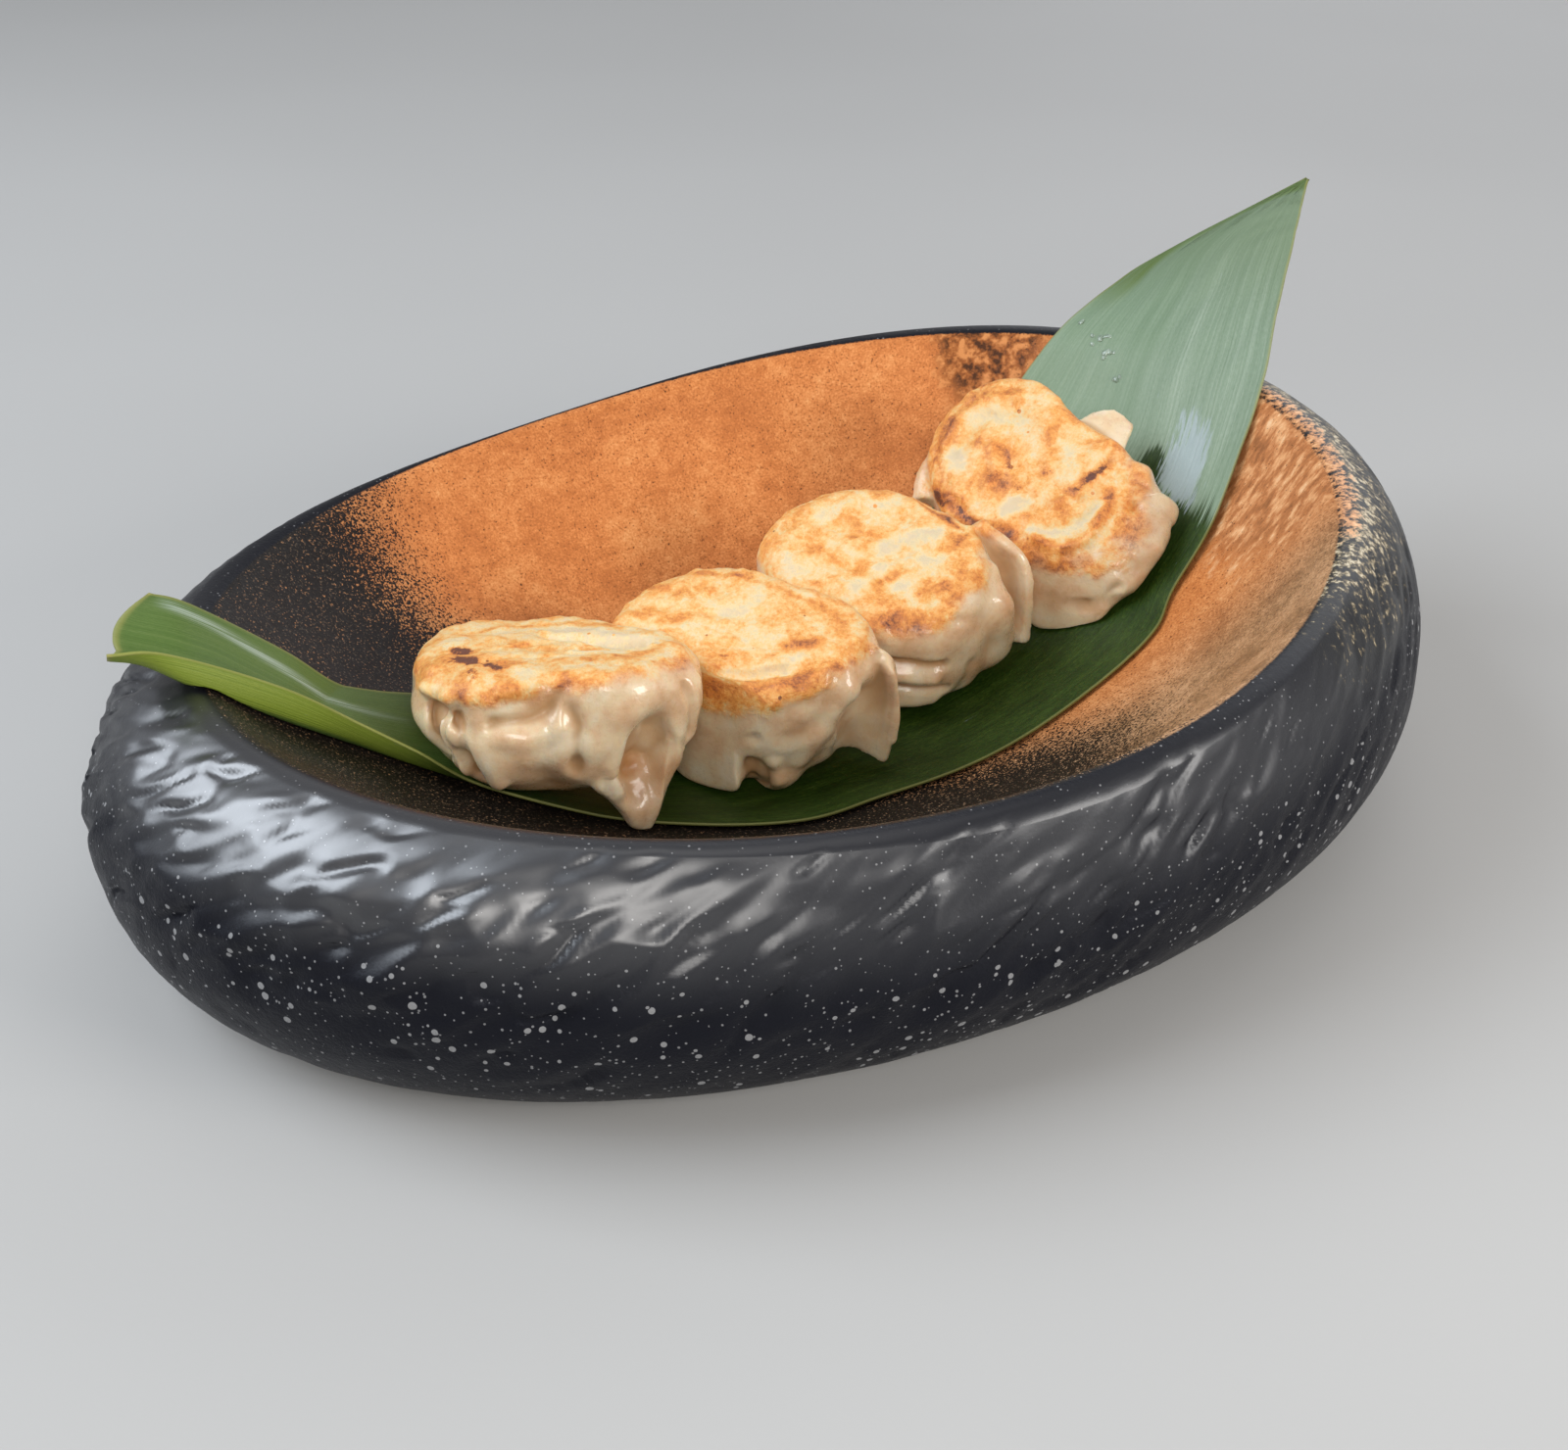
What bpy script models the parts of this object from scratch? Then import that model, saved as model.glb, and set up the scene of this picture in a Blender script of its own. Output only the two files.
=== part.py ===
"""Gyoza dumplings on a green leaf in a heavy oval bowl.

Six closed solids: the bowl, the leaf that lies across it, and four pan-fried dumplings that lie in a
row on the leaf with their browned faces up. Every length is in millimetres until scaled() turns it
into metres. +X is the bowl's long axis, towards the end where the leaf stands up, +Y is its far side
and +Z is up. The origin is the middle of the flat base.
"""

import math

import bpy
import numpy as np
from mathutils import Matrix, Vector
from mathutils.bvhtree import BVHTree

MM = 0.001
COLLECTION = "gyoza_dumplings"

# Bowl: a thick oval ring of stoneware round a deep basin.
RIM_HALF_LENGTH = 130.8
RIM_HALF_WIDTH = 103.2
RIM_HEIGHT = 69.8
RIM_RISE = 7.4            # the +X end of the rim is higher, the -X end lower
RIM_SADDLE = 2.4          # both ends stand higher than the sides
RIM_FAR_RISE = 1.1        # the far side is higher than the near side
RIM_EGG = 0.034           # share by which the rim is wider towards +X
RIM_SKEW = 3.6            # how far the ends lie towards +Y and the sides towards -Y
CREST_RADIUS = 3.5
BASIN_FLOOR = 12.0
BASIN_POWER = 2.6         # how flat the basin's floor is
BELLY_OUT = 18.8          # how far the belly stands out beyond the crest
BELLY_RISE = 2.1
BELLY_SADDLE = 10.3
BELLY_HEIGHT = 33.4
FOOT_IN = 29.4            # how far the foot draws in below the belly
SHOULDER_POWER = 1.12
CREST_DROP = 1.3          # the crest's outer edge, in crest radii out from its middle
BOWL_SECTORS = 64

# Leaf: one blade, cut off in a curve at the -X end and pointed at the +X end.
LEAF_THICKNESS = 0.6
LEAF_LIFT = 1.0           # the clearance between the bowl and the leaf's underside
LEAF_CUT_BULGE = 3.0      # how far the cut end curves out
LEAF_STATIONS = 40
LEAF_STRIPS = 6

# Dumplings
FOOD_GAP = 0.7            # the clearance to the leaf and to the next dumpling
VOXEL = 1.1
SMOOTH_STEPS = 4
DUMPLING_TRIANGLES = 1300
SOFT_CONTACT = 1.5        # how gently a side flattens against its neighbour


# ---------------------------------------------------------------- shared helpers

def clear_scene():
    for obj in list(bpy.data.objects):
        bpy.data.objects.remove(obj, do_unlink=True)


def scaled(points):
    return [tuple(MM * float(c) for c in p) for p in points]


def material(name, colour, roughness, metallic=0.0):
    mat = bpy.data.materials.new(name)
    mat.use_nodes = True
    shader = mat.node_tree.nodes["Principled BSDF"]
    shader.inputs["Base Color"].default_value = (*colour, 1.0)
    shader.inputs["Roughness"].default_value = roughness
    shader.inputs["Metallic"].default_value = metallic
    return mat


def add_object(name, points, faces, mat, collection):
    mesh = bpy.data.meshes.new(name)
    mesh.from_pydata(scaled(points), [], faces)
    mesh.validate()
    mesh.materials.append(mat)
    obj = bpy.data.objects.new(name, mesh)
    collection.objects.link(obj)
    mesh.shade_smooth()
    return obj


def spline(points, count):
    """Evenly numbered points on a smooth curve through the given ones."""
    p = np.asarray(points, float)
    p = np.vstack([2 * p[0] - p[1], p, 2 * p[-1] - p[-2]])
    at = np.linspace(0, len(p) - 3 - 1e-9, count)
    i = at.astype(int)
    t = (at - i)[:, None]
    a, b, c, d = p[i], p[i + 1], p[i + 2], p[i + 3]
    return 0.5 * (2 * b + (c - a) * t + (2 * a - 5 * b + 4 * c - d) * t ** 2
                  + (3 * b - a - 3 * c + d) * t ** 3)


def loft(rings, first_pole, last_pole):
    """A closed skin over rings of equal length, shut by a fan at each pole."""
    rings = np.asarray(rings)
    count, sides = rings.shape[:2]
    points = [tuple(p) for p in rings.reshape(-1, 3)] + [tuple(first_pole), tuple(last_pole)]
    faces = []
    for r in range(count - 1):
        for s in range(sides):
            n = (s + 1) % sides
            faces.append((r * sides + s, (r + 1) * sides + s, (r + 1) * sides + n, r * sides + n))
    top, bottom = count * sides, count * sides + 1
    for s in range(sides):
        n = (s + 1) % sides
        faces.append((top, s, n))
        faces.append((bottom, (count - 1) * sides + n, (count - 1) * sides + s))
    return points, faces


def surface_tree(obj):
    """A search tree over an object's evaluated surface, in millimetres."""
    graph = bpy.context.evaluated_depsgraph_get()
    mesh = obj.evaluated_get(graph).to_mesh()
    points = [v.co / MM for v in mesh.vertices]
    return BVHTree.FromPolygons(points, [tuple(f.vertices) for f in mesh.polygons])


def kept_above(points, trees, gap, up=(0, 0, 1), reach=80):
    """Push the points that lie below a surface, or within a gap over it, out along up."""
    up = Vector(up).normalized()
    moved = points.copy()
    for i, p in enumerate(points):
        place = Vector(p)
        for tree in trees:
            hit = tree.ray_cast(place + up * reach, -up, 2 * reach)[0]
            if hit is not None and (place - hit).dot(up) < gap:
                place = hit + up * gap
        moved[i] = place
    return moved


# ---------------------------------------------------------------- bowl

def rim_point(phi):
    c, s = math.cos(phi), math.sin(phi)
    x = RIM_HALF_LENGTH * c
    y = RIM_HALF_WIDTH * s * (1 + RIM_EGG * c) + RIM_SKEW * math.cos(2 * phi)
    z = RIM_HEIGHT + RIM_RISE * c + RIM_SADDLE * math.cos(2 * phi) + RIM_FAR_RISE * s
    return np.array([x, y, z])


def bowl_section(phi):
    """Points of the bowl's section at one angle, from the basin's middle to the base's."""
    rim = rim_point(phi)
    plan, height = rim[:2], rim[2]
    out = np.array([math.cos(phi) / RIM_HALF_LENGTH, math.sin(phi) / RIM_HALF_WIDTH])
    out /= np.linalg.norm(out)
    belly = BELLY_OUT + BELLY_RISE * math.cos(phi) + BELLY_SADDLE * math.cos(2 * phi)

    def inner(share):
        return np.array([*(plan * share), BASIN_FLOOR + (height - BASIN_FLOOR) * share ** BASIN_POWER])

    def upper(turn):
        reach = belly * math.sin(turn) ** SHOULDER_POWER
        return np.array([*(plan + out * reach), BELLY_HEIGHT + (height - BELLY_HEIGHT) * math.cos(turn)])

    def lower(turn):
        reach = belly - FOOT_IN * (1 - math.cos(turn))
        return np.array([*(plan + out * reach), BELLY_HEIGHT * (1 - math.sin(turn))])

    inside_reach = 1 - CREST_RADIUS / np.linalg.norm(plan)
    outside_turn = math.asin((CREST_RADIUS * CREST_DROP / belly) ** (1 / SHOULDER_POWER))
    start, end, corner = inner(inside_reach), upper(outside_turn), rim
    points = [inner(s) for s in np.linspace(0.14, 0.86, 8)]
    points += [inner(s) for s in np.linspace(0.92, inside_reach, 2)]
    for t in np.linspace(0.25, 0.75, 3):
        points.append((1 - t) ** 2 * start + 2 * t * (1 - t) * corner + t ** 2 * end)
    points += [upper(t) for t in np.linspace(outside_turn, math.pi / 2, 7)]
    points += [lower(t) for t in np.linspace(0, math.pi / 2, 7)[1:]]
    foot = points[-1]
    points.append(np.array([foot[0] * 0.5, foot[1] * 0.5, 0.0]))
    return points


def make_bowl(collection):
    turns = np.linspace(0, 2 * math.pi, BOWL_SECTORS, endpoint=False)
    sections = np.array([bowl_section(a) for a in turns])
    rings = sections.transpose(1, 0, 2)
    points, faces = loft(rings, (0, 0, BASIN_FLOOR), (0, 0, 0))
    mat = material("dark_stoneware", (0.012, 0.012, 0.018), 0.42)
    return add_object("bowl", points, faces, mat, collection)


# ---------------------------------------------------------------- leaf

# Three lines run the length of the leaf: its far edge, its trough or middle, and its near edge,
# which is folded up into a low flap at the cut end. The points are (x, y, z) at eighteen stations.
LEAF_FAR = [(-131, 38, 77), (-124, 36, 73), (-106, 36, 57), (-94, 38.5, 44), (-83, 40, 37),
            (-66, 42, 29), (-44, 42, 22), (-15, 41, 18), (8, 41, 18), (32, 42, 20), (56, 43, 26),
            (76, 44, 36), (92, 46, 50), (108, 47.5, 67.5), (120, 46.5, 79.5), (137, 48, 86),
            (153, 47, 92), (179.6, 23, 114)]
LEAF_MIDDLE = [(-143, 28, 70.5), (-134, 17.5, 67.5), (-114, 15.5, 53.5), (-98, 18, 39.5), (-86, 16, 31),
               (-70, 9, 23.5), (-48, 6, 17), (-18, 4, 13), (6, 4, 12.5), (31, 4, 14), (56, 4, 20),
               (78, 5, 31), (96, 9, 46), (114, 14, 62), (127, 16.5, 78.5), (144, 20, 90),
               (160, 24, 101), (179.3, 22.5, 114)]
LEAF_NEAR = [(-147, 18, 76), (-135, 17.5, 73), (-114, 15.5, 60), (-99, 14, 47), (-88.5, 12, 38),
             (-74, 6.5, 26), (-44, -13.5, 16), (-17, -28.5, 14.5), (5, -30.5, 14.5),
             (30, -35, 18), (56, -37, 26), (76.5, -38, 37.5), (88, -32.5, 44), (104, -28.5, 57.5),
             (128.8, -15.5, 79.5), (147, -1.5, 91.5), (162, 9.5, 101.5), (179, 22, 114)]


def leaf_surface(stations, strips, bowl_tree):
    """A grid of points on the leaf's underside, lifted clear of the bowl."""
    far, middle, near = (spline(line, stations) for line in (LEAF_FAR, LEAF_MIDDLE, LEAF_NEAR))
    grid = np.empty((stations, strips + 1, 3))
    for i, (f, m, n) in enumerate(zip(far, middle, near)):
        first, second = np.linalg.norm(m - f), np.linalg.norm(n - m)
        bend = first / (first + second)
        for j, t in enumerate(np.linspace(0, 1, strips + 1)):
            at_far = (t - bend) * (t - 1) / bend
            at_middle = t * (1 - t) / (bend * (1 - bend))
            at_near = t * (t - bend) / (1 - bend)
            grid[i, j] = at_far * f + at_middle * m + at_near * n
    outward = middle[0] - middle[1]
    outward /= np.linalg.norm(outward)
    to_middle = np.minimum(np.linspace(0, 2, strips + 1), 1)
    grid[0] += outward * (LEAF_CUT_BULGE * 4 * to_middle * (1 - to_middle))[:, None]
    return kept_above(grid.reshape(-1, 3), [bowl_tree], LEAF_LIFT).reshape(grid.shape)


def grid_faces(rows, columns):
    return [(i * columns + j, (i + 1) * columns + j, (i + 1) * columns + j + 1, i * columns + j + 1)
            for i in range(rows - 1) for j in range(columns - 1)]


def make_leaf(bowl, collection):
    grid = leaf_surface(LEAF_STATIONS, LEAF_STRIPS, surface_tree(bowl))
    faces = grid_faces(LEAF_STATIONS, LEAF_STRIPS + 1)
    mat = material("green_leaf", (0.05, 0.16, 0.035), 0.42)
    leaf = add_object("leaf", grid.reshape(-1, 3), faces, mat, collection)
    thicken = leaf.modifiers.new("thickness", "SOLIDIFY")
    thicken.thickness = LEAF_THICKNESS * MM
    thicken.offset = -1.0
    return leaf


# ---------------------------------------------------------------- dumplings

# Section of a dumpling from the middle of its fried face, over the shoulder and the bulging side,
# to the middle of its underside: (share of the outline's reach, share of the height).
SECTION = [(0.0, 0.0), (0.5, 0.0), (0.82, 0.02), (0.965, 0.11), (1.03, 0.32), (1.04, 0.6),
           (0.97, 0.84), (0.8, 0.98), (0.5, 1.0), (0.0, 0.96)]

# Each dumpling in its own frame: X runs along it, -Y is its pleated front and +Z its fried face.
# centre: middle of the fried face. turn: yaw, tilt and roll in degrees. outline: reach of the face
# every 45 degrees from +X. draw_in: share by which the underside is narrower. shear: how far the
# underside lies off the face's middle. lean: the direction in which the leaf holds it up. flaps:
# (thickness, root line, free edge). strokes: (push out, radius, line), pressed into the dough one
# after another.
DUMPLINGS = {
    "dumpling_1": dict(
        centre=(-57, 12, 53.5), turn=(-27, -8, 0), outline=(34.5, 28, 24, 29, 29, 24.5, 18.5, 27.5),
        height=29.5, draw_in=0.25, shear=(0, 1), lean=(0, 0, 1),
        flaps=[(3.2, [(11, -9, -21), (19, -6, -23), (29, -5, -18)],
                [(17, -13.5, -32), (20, -13, -38), (24, -11.5, -33)])],
        strokes=[(1.6, 6.0, [(-26.5, -10, -12)]),
                 (1.6, 5.0, [(-20.5, -14, -13), (-20, -14, -20)]),
                 (2.0, 6.5, [(-14, -16, -15), (-13, -16, -23)]),
                 (-3.6, 3.4, [(-22.6, -12.3, -6), (-22, -13, -14), (-19, -13, -20)]),
                 (-3.6, 3.4, [(-17.7, -15, -8), (-16.9, -15.4, -15), (-15.6, -15, -24)]),
                 (-1.2, 3.2, [(-11.2, -16.8, -9), (-11, -16.8, -14)]),
                 (2.5, 12.0, [(-4, -17, -17), (6, -17, -19)]),
                 (-0.8, 2.6, [(0.5, -18, -8), (0.5, -18.5, -15)]),
                 (-1.6, 3.2, [(5.3, -18, -10), (5.6, -19, -20)]),
                 (-7.0, 8.0, [(19, -15.5, -17), (19.5, -15, -21), (20, -13.5, -27)]),
                 (2.6, 8.0, [(29, -9, -9), (29.5, -9, -17)]),
                 (-1.4, 5.0, [(7, -3, 0), (22, -1, 0)])]),
    "dumpling_2": dict(
        centre=(-16, 2, 51), turn=(-38, 20, -2), outline=(34, 22.5, 21, 24, 28, 25, 22.5, 27.5),
        height=36, draw_in=0.2, shear=(0, -2), lean=(0, 0, 1),
        flaps=[(3.0, [(29, -4, -3), (30, -6, -14), (29, -8, -25), (27, -9, -31)],
                [(37, -5, -3), (38.5, -6, -14), (37, -8, -26), (34, -9.5, -38)])],
        strokes=[(-1.0, 3.2, [(-4, -15, 0), (8, -15, 0), (15, -13, 0)]),
                 (1.2, 4.0, [(-6, -20, -2.5), (8, -20, -3), (22, -16, -3)]),
                 (8.0, 9.5, [(-8, -22, -27), (-1, -24, -26)]),
                 (5.0, 7.0, [(12, -21, -29)]),
                 (-4.5, 4.4, [(5.6, -25, -22), (5.6, -23, -35)]),
                 (-2.0, 7.0, [(21, -12, -36), (30, -8, -34)]),
                 (-5.0, 8.0, [(26, -13, -22), (29, -11, -28)]),
                 (1.8, 4.5, [(30, -10.5, -9), (23.5, -16, -14), (18.5, -19, -22)]),
                 (-1.2, 2.0, [(-1, -20, -17), (-3, -20, -21.5), (-7, -20, -24)])]),
    "dumpling_3": dict(
        centre=(33, 14, 53), turn=(-52, 26, 0), outline=(30, 22, 20, 23.5, 29, 26, 26, 30.5),
        height=38, draw_in=0.2, shear=(2, -5), lean=(0, 0, 1),
        flaps=[(2.6, [(25, 9, -3), (28, 8, -12), (29, 3, -21), (29, -3, -27)],
                [(30, 11, -4), (37, 11, -10), (40, 7, -17), (39.5, -1, -27)])],
        strokes=[(-8.0, 8.0, [(32, 4, -7), (33, 0, -15), (33, -2, -23)]),
                 (3.0, 6.0, [(29, -9, -8), (31, -10, -18)]),
                 (3.0, 6.0, [(8, -24, -31), (17, -22, -33), (25, -16, -30)]),
                 (-2.2, 3.4, [(9, -25, -26), (16, -24, -28), (23, -19, -25), (26, -17, -18)])]),
    "dumpling_4": dict(
        centre=(81, 9, 66), turn=(-68, 43, 4), outline=(27.5, 16.5, 15.5, 27, 32, 28, 27.5, 33),
        height=29, draw_in=0.1, shear=(4, -8), lean=(-0.6, 0, 0.8),
        flaps=[(2.4, [(1, 10, -8), (9, 8, -9), (16, 6, -10)],
                [(3, 17.5, -10), (8, 20, -11), (13.5, 18.5, -13)]),
               (2.5, [(-26, -3, -9), (-26, -12, -9), (-24, -18, -9)],
                [(-32, -7, -8), (-34.5, -13, -9), (-32, -19, -10)])],
        strokes=[(7.5, 15.0, [(35, -6, -10), (35, -18, -10), (26, -34, -10), (12, -40, -12)]),
                 (3.0, 5.5, [(25, 4, -3), (28, 6, -9), (31, 5, -17)]),
                 (-2.5, 4.2, [(27.5, -2, -5), (30, 0, -15), (32, 0, -22)]),
                 (-2.0, 4.5, [(16, -30, -27), (22, -28, -31)])]),
}

# Upright planes between neighbours: a point on each, and the direction it runs in plan.
CONTACTS = [((-30, 4), -68), ((6.5, 2), -62), ((56, 15), -61)]


def turning(yaw, tilt, roll):
    return (Matrix.Rotation(math.radians(yaw), 3, "Z") @ Matrix.Rotation(math.radians(roll), 3, "Y")
            @ Matrix.Rotation(math.radians(tilt), 3, "X"))


def reach_at(outline, angle):
    """Smooth reach of the outline at an angle, through its evenly spaced values."""
    step = 2 * math.pi / len(outline)
    i = math.floor(angle / step)
    t = angle / step - i
    a, b, c, d = (outline[(i + k) % len(outline)] for k in (-1, 0, 1, 2))
    return 0.5 * (2 * b + (c - a) * t + (2 * a - 5 * b + 4 * c - d) * t ** 2
                  + (3 * b - a - 3 * c + d) * t ** 3)


def distance_to_line(points, line):
    """Distance of each point from a line of straight stretches, or from one point."""
    best = np.full(len(points), np.inf)
    ends = list(zip(line, line[1:])) or [(line[0], line[0])]
    for a, b in ends:
        a, b = np.asarray(a, float), np.asarray(b, float)
        run = b - a
        share = np.clip((points - a) @ run / max(run @ run, 1e-9), 0, 1)
        best = np.minimum(best, np.linalg.norm(points - a - share[:, None] * run, axis=1))
    return best


def body_rings(spec, sides=144, steps=60):
    """The dumpling's skin as rings round its axis, with the strokes pressed in."""
    rings = []
    for share, depth in spline(SECTION, steps)[1:-1]:
        share *= 1 - spec["draw_in"] * depth ** 2
        ring = []
        for angle in np.linspace(0, 2 * math.pi, sides, endpoint=False):
            reach = reach_at(spec["outline"], angle) * share
            ring.append((reach * math.cos(angle) + spec["shear"][0] * depth,
                         reach * math.sin(angle) + spec["shear"][1] * depth,
                         -spec["height"] * depth))
        rings.append(ring)
    rings = np.array(rings)
    for depth, radius, line in spec["strokes"]:
        around = np.roll(rings, -1, axis=1) - np.roll(rings, 1, axis=1)
        outward = np.cross(around, np.gradient(rings, axis=0))
        outward /= -np.linalg.norm(outward, axis=2, keepdims=True)
        near = np.clip(1 - distance_to_line(rings.reshape(-1, 3), line) / radius, 0, 1)
        push = depth * near * near * (3 - 2 * near)
        rings = rings + outward * push.reshape(rings.shape[:2] + (1,))
    return rings


def plane_sides(index):
    """The contact planes of one dumpling, as (point, normal) with the normal towards it."""
    sides = []
    for k, sign in ((index - 1, 1), (index, -1)):
        if 0 <= k < len(CONTACTS):
            point, direction = CONTACTS[k]
            a = math.radians(direction)
            sides.append((np.array(point, float), sign * np.array([-math.sin(a), math.cos(a)])))
    return sides


def settle(points, index, trees, lean):
    """Flatten a dumpling against its neighbours and on what it lies on."""
    for origin, normal in plane_sides(index):
        away = (points[:, :2] - origin) @ normal - FOOD_GAP / 2
        kept = 0.5 * (away + np.sqrt(away ** 2 + SOFT_CONTACT ** 2))
        points[:, :2] += (kept - away)[:, None] * normal
    return kept_above(points, trees, FOOD_GAP, lean)


def tongue(root, edge, thickness, rows=14, columns=7):
    """A thin flap of dough between its root line and its free edge, as a closed skin."""
    inner, outer = spline(root, rows), spline(edge, rows)
    grid = np.array([[a + (b - a) * t for t in np.linspace(0, 1, columns)]
                     for a, b in zip(inner, outer)])
    along = np.gradient(grid, axis=0)
    across = np.gradient(grid, axis=1)
    normal = np.cross(along, across)
    normal /= np.linalg.norm(normal, axis=2, keepdims=True)
    half = 0.5 * thickness * normal
    sheets = np.concatenate([(grid + half).reshape(-1, 3), (grid - half).reshape(-1, 3)])
    count = rows * columns
    faces = grid_faces(rows, columns)
    faces += [tuple(count + v for v in reversed(f)) for f in grid_faces(rows, columns)]
    border = list(range(columns))
    border += [i * columns + columns - 1 for i in range(1, rows)]
    border += [(rows - 1) * columns + j for j in range(columns - 2, -1, -1)]
    border += [i * columns for i in range(rows - 2, 0, -1)]
    for a, b in zip(border, border[1:] + border[:1]):
        faces.append((a, b, count + b, count + a))
    return [tuple(p) for p in sheets], faces


def merged(parts):
    points, faces = [], []
    for part_points, part_faces in parts:
        base = len(points)
        points += part_points
        faces += [tuple(base + v for v in f) for f in part_faces]
    return points, faces


def apply_modifiers(obj):
    graph = bpy.context.evaluated_depsgraph_get()
    mesh = bpy.data.meshes.new_from_object(obj.evaluated_get(graph))
    old = obj.data
    obj.modifiers.clear()
    obj.data = mesh
    bpy.data.meshes.remove(old)


def make_dumpling(name, index, spec, trees, mat, collection):
    sink = SECTION[-1][1]
    middle = (spec["shear"][0] * sink, spec["shear"][1] * sink, -spec["height"] * sink)
    parts = [loft(body_rings(spec), (0, 0, 0), middle)]
    parts += [tongue(root, edge, thick) for thick, root, edge in spec["flaps"]]
    obj = add_object(name, *merged(parts), mat, collection)
    remesh = obj.modifiers.new("one_skin", "REMESH")
    remesh.mode = "VOXEL"
    remesh.voxel_size = VOXEL * MM
    smooth = obj.modifiers.new("soften", "SMOOTH")
    smooth.factor = 0.5
    smooth.iterations = SMOOTH_STEPS
    apply_modifiers(obj)
    mesh = obj.data
    points = np.array([v.co for v in mesh.vertices]) / MM
    turned = np.array(turning(*spec["turn"]))
    world = points @ turned.T + np.array(spec["centre"])
    world = settle(world, index, trees, spec["lean"])
    for vertex, place in zip(mesh.vertices, world):
        vertex.co = place * MM
    triangles = sum(len(f.vertices) - 2 for f in mesh.polygons)
    thin = obj.modifiers.new("fewer_faces", "DECIMATE")
    thin.ratio = DUMPLING_TRIANGLES / triangles
    mesh.shade_smooth()
    return obj


def main():
    clear_scene()
    collection = bpy.data.collections.new(COLLECTION)
    bpy.context.scene.collection.children.link(collection)
    bowl = make_bowl(collection)
    leaf = make_leaf(bowl, collection)
    trees = [surface_tree(bowl), surface_tree(leaf)]
    dough = material("fried_dough", (0.72, 0.5, 0.28), 0.4)
    for index, (name, spec) in enumerate(DUMPLINGS.items()):
        make_dumpling(name, index, spec, trees, dough, collection)


if __name__ == "__main__":
    main()
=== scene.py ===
"""Looks of the gyoza dumplings: hammered stoneware bowl, green leaf and four pan-fried dumplings.

The skins follow the same forms as the CAD solids, at a finer mesh, in millimetres until scaled()
turns them into metres. +X runs along the bowl, +Y to its far side and +Z up.
"""

import math

import bpy
import numpy as np
from mathutils import Matrix, Vector, noise
from mathutils.bvhtree import BVHTree


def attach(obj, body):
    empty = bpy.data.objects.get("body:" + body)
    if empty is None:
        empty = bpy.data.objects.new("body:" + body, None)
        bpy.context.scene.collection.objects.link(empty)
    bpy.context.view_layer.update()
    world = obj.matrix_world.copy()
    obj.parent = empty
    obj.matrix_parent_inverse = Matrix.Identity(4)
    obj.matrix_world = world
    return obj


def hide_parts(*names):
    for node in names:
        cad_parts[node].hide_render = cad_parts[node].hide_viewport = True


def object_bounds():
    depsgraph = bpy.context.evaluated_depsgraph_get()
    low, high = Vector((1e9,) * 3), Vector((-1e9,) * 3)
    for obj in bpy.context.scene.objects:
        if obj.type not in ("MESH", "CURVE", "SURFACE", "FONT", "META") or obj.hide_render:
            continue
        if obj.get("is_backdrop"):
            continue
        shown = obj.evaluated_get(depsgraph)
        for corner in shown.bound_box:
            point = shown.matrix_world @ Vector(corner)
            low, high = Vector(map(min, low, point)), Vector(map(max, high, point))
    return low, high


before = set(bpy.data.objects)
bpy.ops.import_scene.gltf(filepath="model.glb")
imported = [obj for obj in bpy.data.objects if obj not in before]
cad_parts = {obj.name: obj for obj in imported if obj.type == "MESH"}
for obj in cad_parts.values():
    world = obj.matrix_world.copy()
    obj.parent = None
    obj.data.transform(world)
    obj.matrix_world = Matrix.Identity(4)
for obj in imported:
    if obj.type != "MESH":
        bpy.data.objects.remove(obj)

CAD_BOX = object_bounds()
MM = 0.001
TINY = 1e-9
PROBE = 80                # how far above and below a point another surface is looked for, in millimetres
MIX_A, MIX_B, MIX_OUTPUT = 6, 7, 2    # the colour sockets of a Mix node

# ---- sizes

# Bowl
RIM_HALF_LENGTH = 130.8
RIM_HALF_WIDTH = 103.2
RIM_HEIGHT = 69.8
RIM_RISE = 7.4
RIM_SADDLE = 2.4
RIM_FAR_RISE = 1.1
RIM_EGG = 0.034
RIM_SKEW = 3.6
CREST_RADIUS = 3.5
BASIN_FLOOR = 12.0
BASIN_POWER = 2.6
BELLY_OUT = 18.8
BELLY_RISE = 2.1
BELLY_SADDLE = 10.3
BELLY_HEIGHT = 33.4
FLAT_UNDER = 0.01         # the base is plain up to this height
FOOT_IN = 29.4
SHOULDER_POWER = 1.12
CREST_DROP = 1.3
HAMMER_TWIST = 0.0072     # radians round the bowl for each millimetre down: the marks run slantwise
HAMMER_RADIUS = 117.0
HAMMER_STRETCH = 1.5
SCOOP_SIZE = 7.0
HAMMERED = 222            # direction of the most hammered side, in degrees from +X
GLOSSY = 195              # directions of the glossiest side and of a second glossy place
SATIN = -45
SPILL_ANGLE = -26         # where the inner glaze runs over the crest
BOWL_SECTORS = 760
BASIN_RINGS = 26
CREST_RINGS = 9
UPPER_RINGS = 60
LOWER_RINGS = 30
BASE_RINGS = 4

# Leaf
LEAF_THICKNESS = 0.6
LEAF_LIFT = 1.0
LEAF_CUT_BULGE = 3.0
LEAF_STATIONS = 350
LEAF_STRIPS = 130
LEAF_CUT_STATIONS = 19    # the stations that its bulging cut end reshapes
BLADE_WIDTH = 80          # of the flat coordinates that its material reads
VEINS = 42
VEIN_HEIGHT = 0.07

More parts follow.
